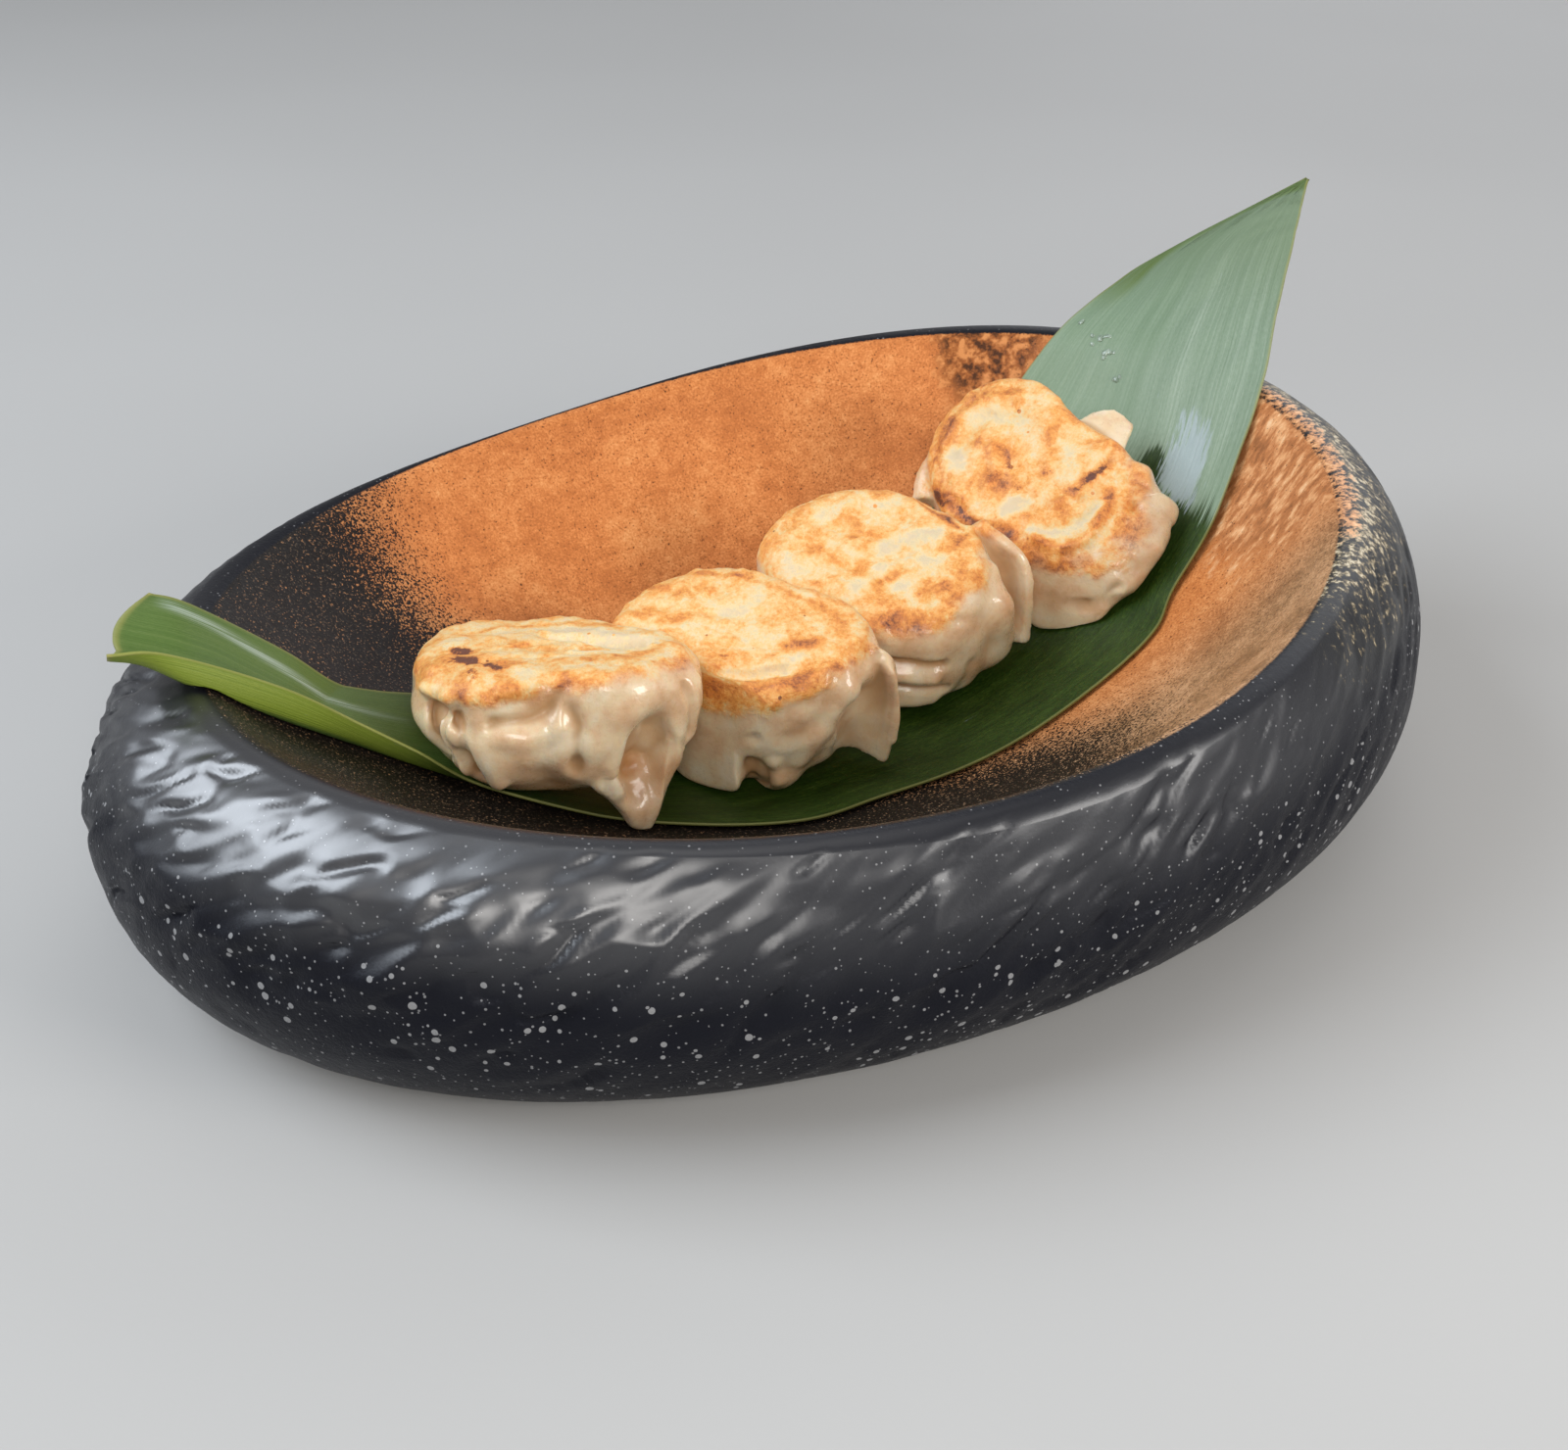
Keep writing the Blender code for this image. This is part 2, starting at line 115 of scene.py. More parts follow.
# Dumplings
FOOD_GAP = 0.7
BODY_SIDES = 300
BODY_STEPS = 130
FLAP_ROWS = 40
FLAP_COLUMNS = 24
VOXEL = 0.5
SMOOTH_STEPS = 14
LAST_SMOOTH_STEPS = 3
SOFT_CONTACT = 1.5
LUMP_SIZE = 11.0
LUMP_HEIGHT = 0.8
BLISTER_SIZE = 3.6
BLISTER_HEIGHT = 0.65
RIM_TOAST = 0.16
# the dumplings' feet are browner: partly a real stain, partly painted shade
FOOT_STAIN_AND_SHADE = 0.55
CHAR_STRENGTH = 0.6
CHAR_SPREAD = 1.8
FLAP_ROOT = 2.2           # share of its thickness that a flap has at its root, and at its edge
FLAP_EDGE = 0.95
FOOT_RADIUS = 6.0
FOOT_MIDDLE = 12.0        # within this distance of the middle the foot is drawn in less
TIP_REACH = 7.0
HOLLOW_ROUNDS = 60


# ---- mesh helpers

def scaled(points):
    return [tuple(MM * float(c) for c in p) for p in points]


def in_scene(name, data):
    """A new object of the scene."""
    made = bpy.data.objects.new(name, data)
    bpy.context.scene.collection.objects.link(made)
    return made


def add_piece(name, points, faces, mat, slot, *nodes):
    """A mesh piece that rides on the one body, stands for the named CAD nodes and takes the given material.
    """
    mesh = bpy.data.meshes.new(name)
    mesh.from_pydata(scaled(points), [], faces)
    mesh.validate()
    mesh.materials.append(mat)
    piece = in_scene(name, mesh)
    mesh.shade_smooth()
    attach(piece, "root")
    if nodes:
        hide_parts(*nodes)
    return piece


def store(mesh, name, values):
    """Keep a number or a vector for each vertex, for the materials to read."""
    values = np.asarray(values, float)
    kind, key = ("FLOAT", "value") if values.ndim == 1 else ("FLOAT_VECTOR", "vector")
    attribute = mesh.attributes.new(name, kind, "POINT")
    attribute.data.foreach_set(key, values.ravel())


def curve(a, b, c, d, t):
    """A point between b and c on a smooth curve through all four."""
    return 0.5 * (2 * b + (c - a) * t + (2 * a - 5 * b + 4 * c - d) * t ** 2
                  + (3 * b - a - 3 * c + d) * t ** 3)


def spline(points, count):
    """Evenly numbered points on a smooth curve through the given ones."""
    p = np.asarray(points, float)
    p = np.vstack([2 * p[0] - p[1], p, 2 * p[-1] - p[-2]])
    at = np.linspace(0, len(p) - 3 - TINY, count)
    i = at.astype(int)
    return curve(p[i], p[i + 1], p[i + 2], p[i + 3], (at - i)[:, None])


def loft(rings, first_pole, last_pole):
    """A closed skin over rings of equal length, shut by a fan at each pole."""
    count, sides = rings.shape[:2]
    points = [tuple(p) for p in rings.reshape(-1, 3)] + [tuple(first_pole), tuple(last_pole)]
    faces = []
    for r in range(count - 1):
        for s in range(sides):
            n = (s + 1) % sides
            faces.append((r * sides + s, (r + 1) * sides + s, (r + 1) * sides + n, r * sides + n))
    top, bottom = count * sides, count * sides + 1
    for s in range(sides):
        n = (s + 1) % sides
        faces.append((top, s, n))
        faces.append((bottom, (count - 1) * sides + n, (count - 1) * sides + s))
    return points, faces


def grid_faces(rows, columns):
    return [(i * columns + j, (i + 1) * columns + j, (i + 1) * columns + j + 1, i * columns + j + 1)
            for i in range(rows - 1) for j in range(columns - 1)]


def ring_normals(rings):
    """Outward normals of a closed band of rings."""
    around = np.roll(rings, -1, axis=1) - np.roll(rings, 1, axis=1)
    outward = np.cross(around, np.gradient(rings, axis=0))
    return -outward / np.maximum(np.linalg.norm(outward, axis=2, keepdims=True), TINY)


def surface_tree(obj):
    """A search tree over an object's evaluated surface, in millimetres."""
    graph = bpy.context.evaluated_depsgraph_get()
    mesh = obj.evaluated_get(graph).to_mesh()
    points = [v.co / MM for v in mesh.vertices]
    return BVHTree.FromPolygons(points, [tuple(f.vertices) for f in mesh.polygons])


def kept_above(points, trees, gap, up=(0, 0, 1)):
    """Push the points that lie below a surface, or within a gap over it, out along up."""
    up = Vector(up).normalized()
    moved = points.copy()
    for i, p in enumerate(points):
        place = Vector(p)
        for tree in trees:
            hit = tree.ray_cast(place + up * PROBE, -up, 2 * PROBE)[0]
            if hit is not None and (place - hit).dot(up) < gap:
                place = hit + up * gap
        moved[i] = place
    return moved


def waves(points, size, seed=0.0, octaves=2):
    """Smooth noise at each point, about -1 to 1, with features of the given size."""
    shift = Vector((seed, 1.7 * seed, -seed))
    return np.array([noise.fractal(Vector(p) / size + shift, 1.0, 2.0, octaves) for p in points])


def smoothstep(low, high, values):
    t = np.clip((values - low) / (high - low), 0, 1)
    return t * t * (3 - 2 * t)


def stretches(points, line):
    """For each straight stretch of a line, its run and how far each point lies off it.

    A line of one point is a stretch of no length, and a point given in plan lies at height 0.
    """
    line = [np.array([*p, *[0] * (points.shape[-1] - len(p))], float) for p in line]
    for a, b in zip(line, line[1:] or line):
        run = b - a
        share = np.clip((points - a) @ run / max(run @ run, TINY), 0, 1)
        yield run, points - a - share[..., None] * run


def nearness(points, radius, line):
    """1 on a line, fading to 0 at the radius."""
    distance = np.min([np.linalg.norm(off, axis=-1) for _, off in stretches(points, line)], axis=0)
    near = np.clip(1 - distance / radius, 0, 1)
    return near * near * (3 - 2 * near)


def apply_modifiers(obj):
    graph = bpy.context.evaluated_depsgraph_get()
    mesh = bpy.data.meshes.new_from_object(obj.evaluated_get(graph))
    old = obj.data
    obj.modifiers.clear()
    obj.data = mesh
    bpy.data.meshes.remove(old)


# ---- material helpers

class Value:
    """What a node gives out. Its sums, differences and products are further nodes."""

    def __init__(self, material, socket):
        self.material, self.socket = material, socket

    def __add__(self, other):
        return self.material.math("ADD", self, other)

    def __sub__(self, other):
        return self.material.math("SUBTRACT", self, other)

    def __rsub__(self, other):
        return self.material.math("SUBTRACT", other, self)

    def __mul__(self, other):
        return self.material.math("MULTIPLY", self, other)


class Material:
    """A node material under construction. Every length in it is in millimetres."""

    def __init__(self, name, **sockets):
        self.material = bpy.data.materials.new(name)
        self.material.use_nodes = True
        self.tree = self.material.node_tree
        self.shader = self.tree.nodes["Principled BSDF"]
        for socket, value in sockets.items():
            self.feed(socket.replace("_", " "), value)

    def add(self, kind, output, inputs, **settings):
        """A new node and one of its outputs."""
        node = self.tree.nodes.new("ShaderNode" + kind)
        for name, value in settings.items():
            setattr(node, name, value)
        for name, value in inputs.items():
            self.feed(name, value, node)
        return Value(self, node.outputs[output])

    def feed(self, name, value, node=None):
        """Link a value to a node's input, or set it there. The node is the shader unless named."""
        socket = (node or self.shader).inputs[name]
        if isinstance(value, Value):
            self.tree.links.new(value.socket, socket)
        else:
            socket.default_value = value

    def attribute(self, name, output="Fac"):
        return self.add("Attribute", output, {}, attribute_name=name)

    def attributes(self, names):
        return [self.attribute(name) for name in names.split()]

    def places(self):
        """The object's own coordinates in millimetres."""
        return self.squeezed(self.add("TexCoord", "Object", {}), [1 / MM] * 3)

    def squeezed(self, vector, factors):
        return self.add("VectorMath", 0, {0: vector, 1: tuple(factors)}, operation="MULTIPLY")

    def noise(self, vector, size, detail=2.0, roughness=0.5, distortion=0.0):
        return self.add("TexNoise", "Fac", {"Vector": vector, "Scale": 1 / size, "Detail": detail,
                                            "Roughness": roughness, "Distortion": distortion})

    def cells(self, vector, size, output="Distance"):
        return self.add("TexVoronoi", output, {"Vector": vector, "Scale": 1 / size})

    def chance(self, vector, size):
        """One random number for each of the cells."""
        return self.add("SeparateColor", "Red", {"Color": self.cells(vector, size, "Color")})

    def math(self, operation, a, b, clamp=False):
        return self.add("Math", 0, {0: a, 1: b}, operation=operation, use_clamp=clamp)

    def step(self, value, low, high):
        """0 below low, 1 above high, smooth in between."""
        return self.add("MapRange", 0, {"Value": value, "From Min": low, "From Max": high},
                        interpolation_type="SMOOTHSTEP")

    def ramp(self, value, stops):
        """The colour at a value between (place, colour) stops."""
        colour = self.add("ValToRGB", "Color", {"Fac": value})
        elements = colour.socket.node.color_ramp.elements
        while len(elements) < len(stops):
            elements.new(0.5)
        for element, (place, shade) in zip(elements, stops):
            element.position = place
            element.color = (*shade, 1.0)
        return colour

    def mix(self, share, a, b):
        a, b = ((*c, 1.0) if isinstance(c, tuple) else c for c in (a, b))
        return self.add("Mix", MIX_OUTPUT, {0: share, MIX_A: a, MIX_B: b}, data_type="RGBA")

    def bump(self, height, distance):
        return self.add("Bump", 0, {"Height": height, "Distance": distance * MM, "Strength": 1.0})

    def finish(self, colour, roughness, normal):
        for name, value in (("Base Color", colour), ("Roughness", roughness), ("Normal", normal)):
            self.feed(name, value)
        return self.material


# ---- materials

BLACK_GLAZE = (0.0055, 0.0055, 0.0085)
DARK_BASIN = (0.012, 0.009, 0.007)
PALE_SPECK = (0.23, 0.23, 0.235)
TAN_SPECK = (0.22, 0.175, 0.125)
RUST = [(0.0, (0.42, 0.130, 0.036)), (0.35, (0.54, 0.180, 0.050)), (0.55, (0.64, 0.230, 0.068)),
        (0.75, (0.73, 0.30, 0.10)), (1.0, (0.82, 0.42, 0.17))]
TAN = [(0.0, (0.10, 0.065, 0.033)), (0.4, (0.29, 0.18, 0.09)), (0.65, (0.50, 0.30, 0.16)),
       (1.0, (0.66, 0.44, 0.27))]
CREAM = [(0.3, (0.26, 0.10, 0.035)), (0.48, (0.52, 0.20, 0.07)), (0.62, (0.78, 0.40, 0.18)),
         (0.78, (0.92, 0.66, 0.40))]
SPILL = [(0.46, (0.008, 0.008, 0.009)), (0.51, (0.04, 0.034, 0.024)), (0.57, (0.26, 0.20, 0.11)),
         (0.64, (0.64, 0.56, 0.40))]
DULL_RUST = (0.34, 0.15, 0.06)
SCORCH = [(0.38, (0.075, 0.028, 0.010)), (0.5, (0.33, 0.105, 0.026)), (0.62, (0.62, 0.25, 0.08))]
LARGE_SPOTS = 2.6         # spacing in millimetres
SMALL_SPOTS = 1.1


def stoneware():
    """Black hammered glaze outside, rust-brown granular glaze inside, speckled where they meet."""
    m = Material("dark_stoneware_look", Specular_IOR_Level=0.16, Specular_Tint=(0.80, 0.86, 1.0, 1.0),
                 Coat_IOR=2.3, Coat_Roughness=0.35)
    place = m.places()
    rust, outer, belt, spill, tan, cream, scorch, gloss = m.attributes(
        "rust outer belt spill tan cream scorch gloss")
    fine = m.noise(place, 0.6, 3.0, 0.65)
    middle = m.noise(place, 3.2, 3.0, 0.6)
    blotch = m.noise(place, 17.0, 3.0, 0.55)
    # The basin: rust, tan towards the near right, with a creamy run and a scorched patch
    tone = m.step(fine * 0.52 + middle * 0.26 + blotch * 0.32, 0.30, 0.82)
    warm = m.mix(m.step(rust, 1.0, 0.3) * 0.6, m.ramp(tone, RUST), DULL_RUST)
    rusty = m.mix(tan * 0.8, warm, m.ramp(tone, TAN))
    streaks = m.noise(m.squeezed(place, (0.55, 1.0, 0.30)), 2.4, 4.0, 0.65)
    rusty = m.mix(m.step(cream + (streaks - 0.5), 0.35, 0.8), rusty, m.ramp(streaks, CREAM))
    rusty = m.mix(m.step(scorch + (middle - 0.5), 0.35, 0.7), rusty, m.ramp(middle, SCORCH))
    # Its black end, freckled, and the grains where the two glazes meet
    flecks = m.step(m.noise(place, 0.6, 3.0, 0.6), 0.56, 0.64)
    speckled = m.mix(flecks * 0.36, DARK_BASIN, TAN_SPECK)
    ragged = (fine - 0.5) * 3.0 + (middle - 0.5) * 0.35
    inside = m.mix(m.step(rust + ragged, 0.36, 0.64), speckled, rusty)
    # Pale spots of two sizes on the outside, the larger ones mostly in a belt
    large = (m.chance(place, LARGE_SPOTS) - 0.4) * (belt * 0.46 + 0.10) - m.cells(place, LARGE_SPOTS)
    small = (m.chance(place, SMALL_SPOTS) - 0.45) * (belt * 0.1 + 0.42) - m.cells(place, SMALL_SPOTS)
    spots = m.math("MAXIMUM", m.step(large, -0.01, 0.03), m.step(small, -0.03, 0.05) * 0.8)
    outside = m.mix(spots, BLACK_GLAZE, PALE_SPECK)
    # The inner glaze that ran over the crest
    runs = m.noise(m.squeezed(place, (1.0, 1.0, 0.5)), 1.7, 4.0, 0.7)
    outside = m.mix(m.step(spill, 0.02, 0.3), outside, m.ramp(runs + (spill - 0.75) * 0.22, SPILL))
    brim = (spill - 0.985) + (runs - 0.5) * 0.35
    outside = m.mix(m.step(brim, -0.02, 0.03), outside, m.ramp(runs, CREAM))
    colour = m.mix(m.step(outer + (fine - 0.5) * 0.8, 0.35, 0.65), inside, outside)
    m.feed("Coat Weight", gloss)
    pits = m.noise(place, 1.4, 2.0, 0.55) * 0.6 + fine * 0.4
    return m.finish(colour, middle * 0.16 + 0.34, m.bump(pits, 0.22))


LEAF_DEEP = [(0.34, (0.006, 0.018, 0.001)), (0.48, (0.018, 0.044, 0.003)), (0.56, (0.032, 0.068, 0.006)),
             (0.68, (0.085, 0.13, 0.022))]
# the upright part is paler by a painted sheen
LEAF_PALE_SHEEN = [(0.3, (0.14, 0.215, 0.13)), (0.5, (0.24, 0.32, 0.225)), (0.7, (0.37, 0.45, 0.35))]
LEAF_LIME = [(0.3, (0.11, 0.17, 0.014)), (0.5, (0.20, 0.27, 0.030)), (0.7, (0.30, 0.35, 0.060))]
LEAF_INNER = [(0.3, (0.05, 0.10, 0.014)), (0.5, (0.085, 0.15, 0.028)), (0.7, (0.15, 0.21, 0.06))]
LEAF_SHADE = (0.135, 0.22, 0.12)
LEAF_TOP = (0.15, 0.21, 0.11)
LEAF_STREAK = (0.36, 0.44, 0.36)
# a painted sheen, pale and bluish, on the wet patch
LEAF_WET_SHEEN = (0.38, 0.45, 0.47)
LEAF_OLIVE = (0.11, 0.17, 0.045)
LEAF_EDGE = (0.30, 0.29, 0.085)


def leaf_look():
    """A bamboo leaf: deep green and velvety where it lies flat, veined where it stands up and painted paler
    there as a sheen, with a brighter painted sheen on its wet patch.
    """
    m = Material("green_leaf_look", Specular_IOR_Level=0.35)
    blade = m.attribute("blade", "Vector")
    pale, lime, inner, shade, wet, streak, olive, edge, far_up = m.attributes(
        "pale lime inner shade wet streak olive edge far_up")
    veins = m.noise(m.squeezed(blade, (0.012, 1.0, 1.0)), 0.75, 3.0, 0.65)
    bands = m.noise(m.squeezed(blade, (0.03, 1.0, 1.0)), 5.5, 3.0, 0.55)
    grain = m.noise(m.squeezed(blade, (0.5, 1.0, 1.0)), 0.6, 3.0, 0.65)
    mottle = m.noise(m.squeezed(blade, (0.35, 1.0, 1.0)), 3.0, 3.0, 0.6)
    tone = veins * 0.42 + bands * 0.33 + grain * 0.25
    soft = tone * 0.45 + mottle * 0.30 + grain * 0.25
    colour = m.ramp(soft, LEAF_DEEP)
    jagged = (veins - 0.5) * 1.1
    # the upright part is painted paler as a sheen, ragged along the veins
    colour = m.mix(m.step(pale + jagged, 0.35, 0.65), colour, m.ramp(tone, LEAF_PALE_SHEEN))
    colour = m.mix(shade * 0.4, colour, LEAF_SHADE)
    colour = m.mix(far_up * 0.6, colour, LEAF_TOP)
    colour = m.mix(inner, colour, m.ramp(tone, LEAF_INNER))
    colour = m.mix(lime, colour, m.ramp(tone, LEAF_LIME))
    colour = m.mix(streak * m.step(veins, 0.38, 0.62), colour, LEAF_STREAK)
    fringe = m.noise(m.squeezed(blade, (0.16, 1.0, 1.0)), 1.6, 4.0, 0.7)
    # a painted sheen over the wet patch, with a ragged border
    sheen = m.step(wet + (fringe - 0.5) * 2.4, 0.40, 0.75)
    colour = m.mix(sheen * 0.8, colour, LEAF_WET_SHEEN)
    colour = m.mix(olive * m.step(tone, 0.3, 0.55), colour, LEAF_OLIVE)
    colour = m.mix(edge, colour, LEAF_EDGE)
    rough = veins * 0.3 + 0.36 - wet * 0.2
    return m.finish(colour, rough, m.bump(veins * 0.7 + grain * 0.3, 0.16))


def water_look():
    """Drops of water, which show the leaf's own tone and a sharp glint."""
    m = Material("water_look", IOR=1.33, Coat_Weight=1.0, Coat_Roughness=0.02)
    tone = m.noise(m.places(), 0.8)
    wet = m.ramp(tone, [(0.3, (0.15, 0.21, 0.15)), (0.7, (0.34, 0.42, 0.35))])
    return m.finish(wet, tone * 0.2, m.bump(tone, 0.02))


CRUST = [(0.0, (0.72, 0.58, 0.38)), (0.2, (0.82, 0.64, 0.36)), (0.38, (0.85, 0.54, 0.215)),
         (0.54, (0.84, 0.38, 0.090)), (0.70, (0.70, 0.25, 0.050)), (0.85, (0.44, 0.14, 0.036)),
         (1.0, (0.15, 0.048, 0.024))]
DOUGH = [(0.34, (0.65, 0.41, 0.23)), (0.45, (0.74, 0.51, 0.31)), (0.54, (0.78, 0.60, 0.38)),
         (0.66, (0.81, 0.67, 0.47))]
# painted shade for the dough's folds and hollows
FOLD_SHADE = (0.48, 0.26, 0.105)
# brown of the toasted places, also used as painted shade in the grooves, pockets and foot
BROWNED_AND_SHADED_DOUGH = (0.42, 0.19, 0.06)
DOT_SPACING = 5.5         # of the small burnt dots, in millimetres


def dough_look():
    """Pale wet dough, mottled gold to brown where it was fried, with small burnt spots, and painted shade in
    its folds, grooves and pockets.
    """
    m = Material("fried_dough_look", Subsurface_Weight=0.35, Subsurface_Scale=0.003,
                 Subsurface_Radius=(1.0, 0.6, 0.3), Specular_IOR_Level=0.5, Coat_Roughness=0.09)
    place = m.attribute("local", "Vector")
    fry, toast, char = m.attributes("fry toast char")
    blotch = m.noise(place, 7.0, 4.0, 0.6, 0.4) - 0.5
    grain = m.noise(place, 1.3, 4.0, 0.7)
    fine = m.noise(place, 0.45, 3.0, 0.6)
    # The crust browns with heat, from pale gold at 0 to burnt at 1
    heat = blotch * 1.35 + (grain - 0.5) * 0.75 + (fine - 0.5) * 0.3 + (toast * 1.15 + 0.33)
    ragged = (grain - 0.5) * 1.5 + blotch
    burnt = m.step(char + ragged, 0.25, 1.0)
    heat = heat + burnt * 0.62 * m.step(char, 0.0, 0.55)
    chance = m.math("POWER", m.chance(place, DOT_SPACING), 3.0)
    dots = m.math("LESS_THAN", m.cells(place, DOT_SPACING), chance * 0.10)
    crust = m.ramp(m.math("ADD", heat, dots * 0.4, clamp=True), CRUST)
    # The dough is painted darker in its hollows, as shade, and browner where it caught some heat.
    # The browner toast marks also paint shade into its grooves, its pockets and, with a real stain, its
    # foot.
    hollow = m.step(m.attribute("hollow"), -0.1, 0.8)
    dough = m.mix(hollow * 0.75, m.ramp(m.noise(place, 9.0, 3.0, 0.55), DOUGH), FOLD_SHADE)
    dough = m.mix(m.step(toast + char, 0.05, 0.75), dough, BROWNED_AND_SHADED_DOUGH)
    crusted = m.step(fry + (grain - 0.5) * 0.6, 0.08, 0.92)
    m.feed("Coat Weight", (0.6 - crusted * 0.5) * (1.0 - hollow * 0.8))
    rough = crusted * 0.22 + (grain * 0.3 + 0.14) + hollow * 0.3
    height = (grain * 0.7 + fine * 0.3) * (crusted * 0.7 + 0.3)
    return m.finish(m.mix(crusted, dough, crust), rough, m.bump(height, 0.6))


# ---- bowl

def rim_point(phi):
    """The highest point of the bowl's crest at one angle."""
    c, s = math.cos(phi), math.sin(phi)
    x = RIM_HALF_LENGTH * c
    y = RIM_HALF_WIDTH * s * (1 + RIM_EGG * c) + RIM_SKEW * math.cos(2 * phi)
    z = RIM_HEIGHT + RIM_RISE * c + RIM_SADDLE * math.cos(2 * phi) + RIM_FAR_RISE * s
    return np.array([x, y, z])


def bowl_section(phi):
    """Points of the bowl's section at one angle, from the basin's middle to the base's."""
    rim = rim_point(phi)
    plan, height = rim[:2], rim[2]
    out = np.array([math.cos(phi) / RIM_HALF_LENGTH, math.sin(phi) / RIM_HALF_WIDTH])
    out /= np.linalg.norm(out)
    belly = BELLY_OUT + BELLY_RISE * math.cos(phi) + BELLY_SADDLE * math.cos(2 * phi)

    def inner(share):
        return np.array([*(plan * share), BASIN_FLOOR + (height - BASIN_FLOOR) * share ** BASIN_POWER])

    def upper(turn):
        reach = belly * math.sin(turn) ** SHOULDER_POWER
        return np.array([*(plan + out * reach), BELLY_HEIGHT + (height - BELLY_HEIGHT) * math.cos(turn)])

    def lower(turn):
        reach = belly - FOOT_IN * (1 - math.cos(turn))
        return np.array([*(plan + out * reach), BELLY_HEIGHT * (1 - math.sin(turn))])

    inside_reach = 1 - CREST_RADIUS / np.linalg.norm(plan)
    outside_turn = math.asin((CREST_RADIUS * CREST_DROP / belly) ** (1 / SHOULDER_POWER))
    start, end = inner(inside_reach), upper(outside_turn)
    points = [inner(s) for s in np.linspace(0.02, inside_reach, BASIN_RINGS)]
    for t in np.linspace(0, 1, CREST_RINGS + 2)[1:-1]:
        points.append((1 - t) ** 2 * start + 2 * t * (1 - t) * rim + t ** 2 * end)
    points += [upper(t) for t in np.linspace(outside_turn, math.pi / 2, UPPER_RINGS)]
    points += [lower(t) for t in np.linspace(0, math.pi / 2, LOWER_RINGS + 1)[1:]]
    foot = points[-1]
    points += [np.array([foot[0] * s, foot[1] * s, 0.0]) for s in np.linspace(0.95, 0.1, BASE_RINGS)]
    return points


# Line in plan with the black end of the basin on its one side and the rust glaze on the other
RUST_BORDER = [(-46, 125), (-60, 98), (-68, 84), (-64, 66), (-54, 46), (-42, 24), (-18, 0), (12, -24),
               (40, -44), (45, -58), (31, -80), (8, -102), (-4, -116)]


def hammer_marks(turns, down):
    """Height of the hammered relief in millimetres at each angle and depth below the crest."""
    twisted = turns + HAMMER_TWIST * down
    around = np.stack([HAMMER_RADIUS * np.cos(twisted), HAMMER_RADIUS * np.sin(twisted)], axis=-1)
    flat = np.concatenate([around, down[..., None]], axis=-1).reshape(-1, 3)
    slant = flat / (1, 1, HAMMER_STRETCH)
    slant = slant + 2.0 * np.stack([waves(flat, 7.0, k, 1) for k in (1.0, 2.0, 3.0)], axis=-1)
    broad = 0.7 * waves(slant, 11.0, 4.0) + 0.35 * waves(slant, 4.5, 8.0, 1)
    ridges = 0.8 * waves(slant, 5.0, 9.0, 1) + 0.5 - 1.6 * np.sqrt(waves(slant, 6.5, 5.0, 1) ** 2 + 0.006)
    scoops = np.array([noise.voronoi(Vector(p) / SCOOP_SIZE)[0][0] for p in slant])
    ridges = 0.45 * ridges + 2.4 * (scoops - 0.45)
    dents = np.exp(-(waves(slant, 8.0, 6.0, 1) / 0.16) ** 2)
    dents = dents * smoothstep(0.0, 0.4, waves(flat, 10.0, 7.0, 1))
    return [part.reshape(down.shape) for part in (broad - 1.1 * dents, ridges)]


def line_side(points, line):
    """Signed distance in plan from a line of straight stretches, above 0 on its right-hand side."""
    nearest = np.full(points.shape[:-1], np.inf)
    signed = np.zeros(points.shape[:-1])
    for run, off in stretches(points, line):
        distance = np.linalg.norm(off, axis=-1)
        side = np.sign(off[..., 1] * run[0] - off[..., 0] * run[1])
        signed = np.where(distance < nearest, side * distance, signed)
        nearest = np.minimum(distance, nearest)
    return signed


def round_patch(points, centre, reach):
    """1 at a place in plan, fading to 0 at the reach."""
    return 1 - smoothstep(0.25 * reach, reach, np.linalg.norm(points - np.array(centre, float), axis=-1))


def facing(angle, degrees):
    """1 on the side that faces a direction, falling to 0 on the opposite one."""
    return 0.5 + 0.5 * np.cos(angle - math.radians(degrees))


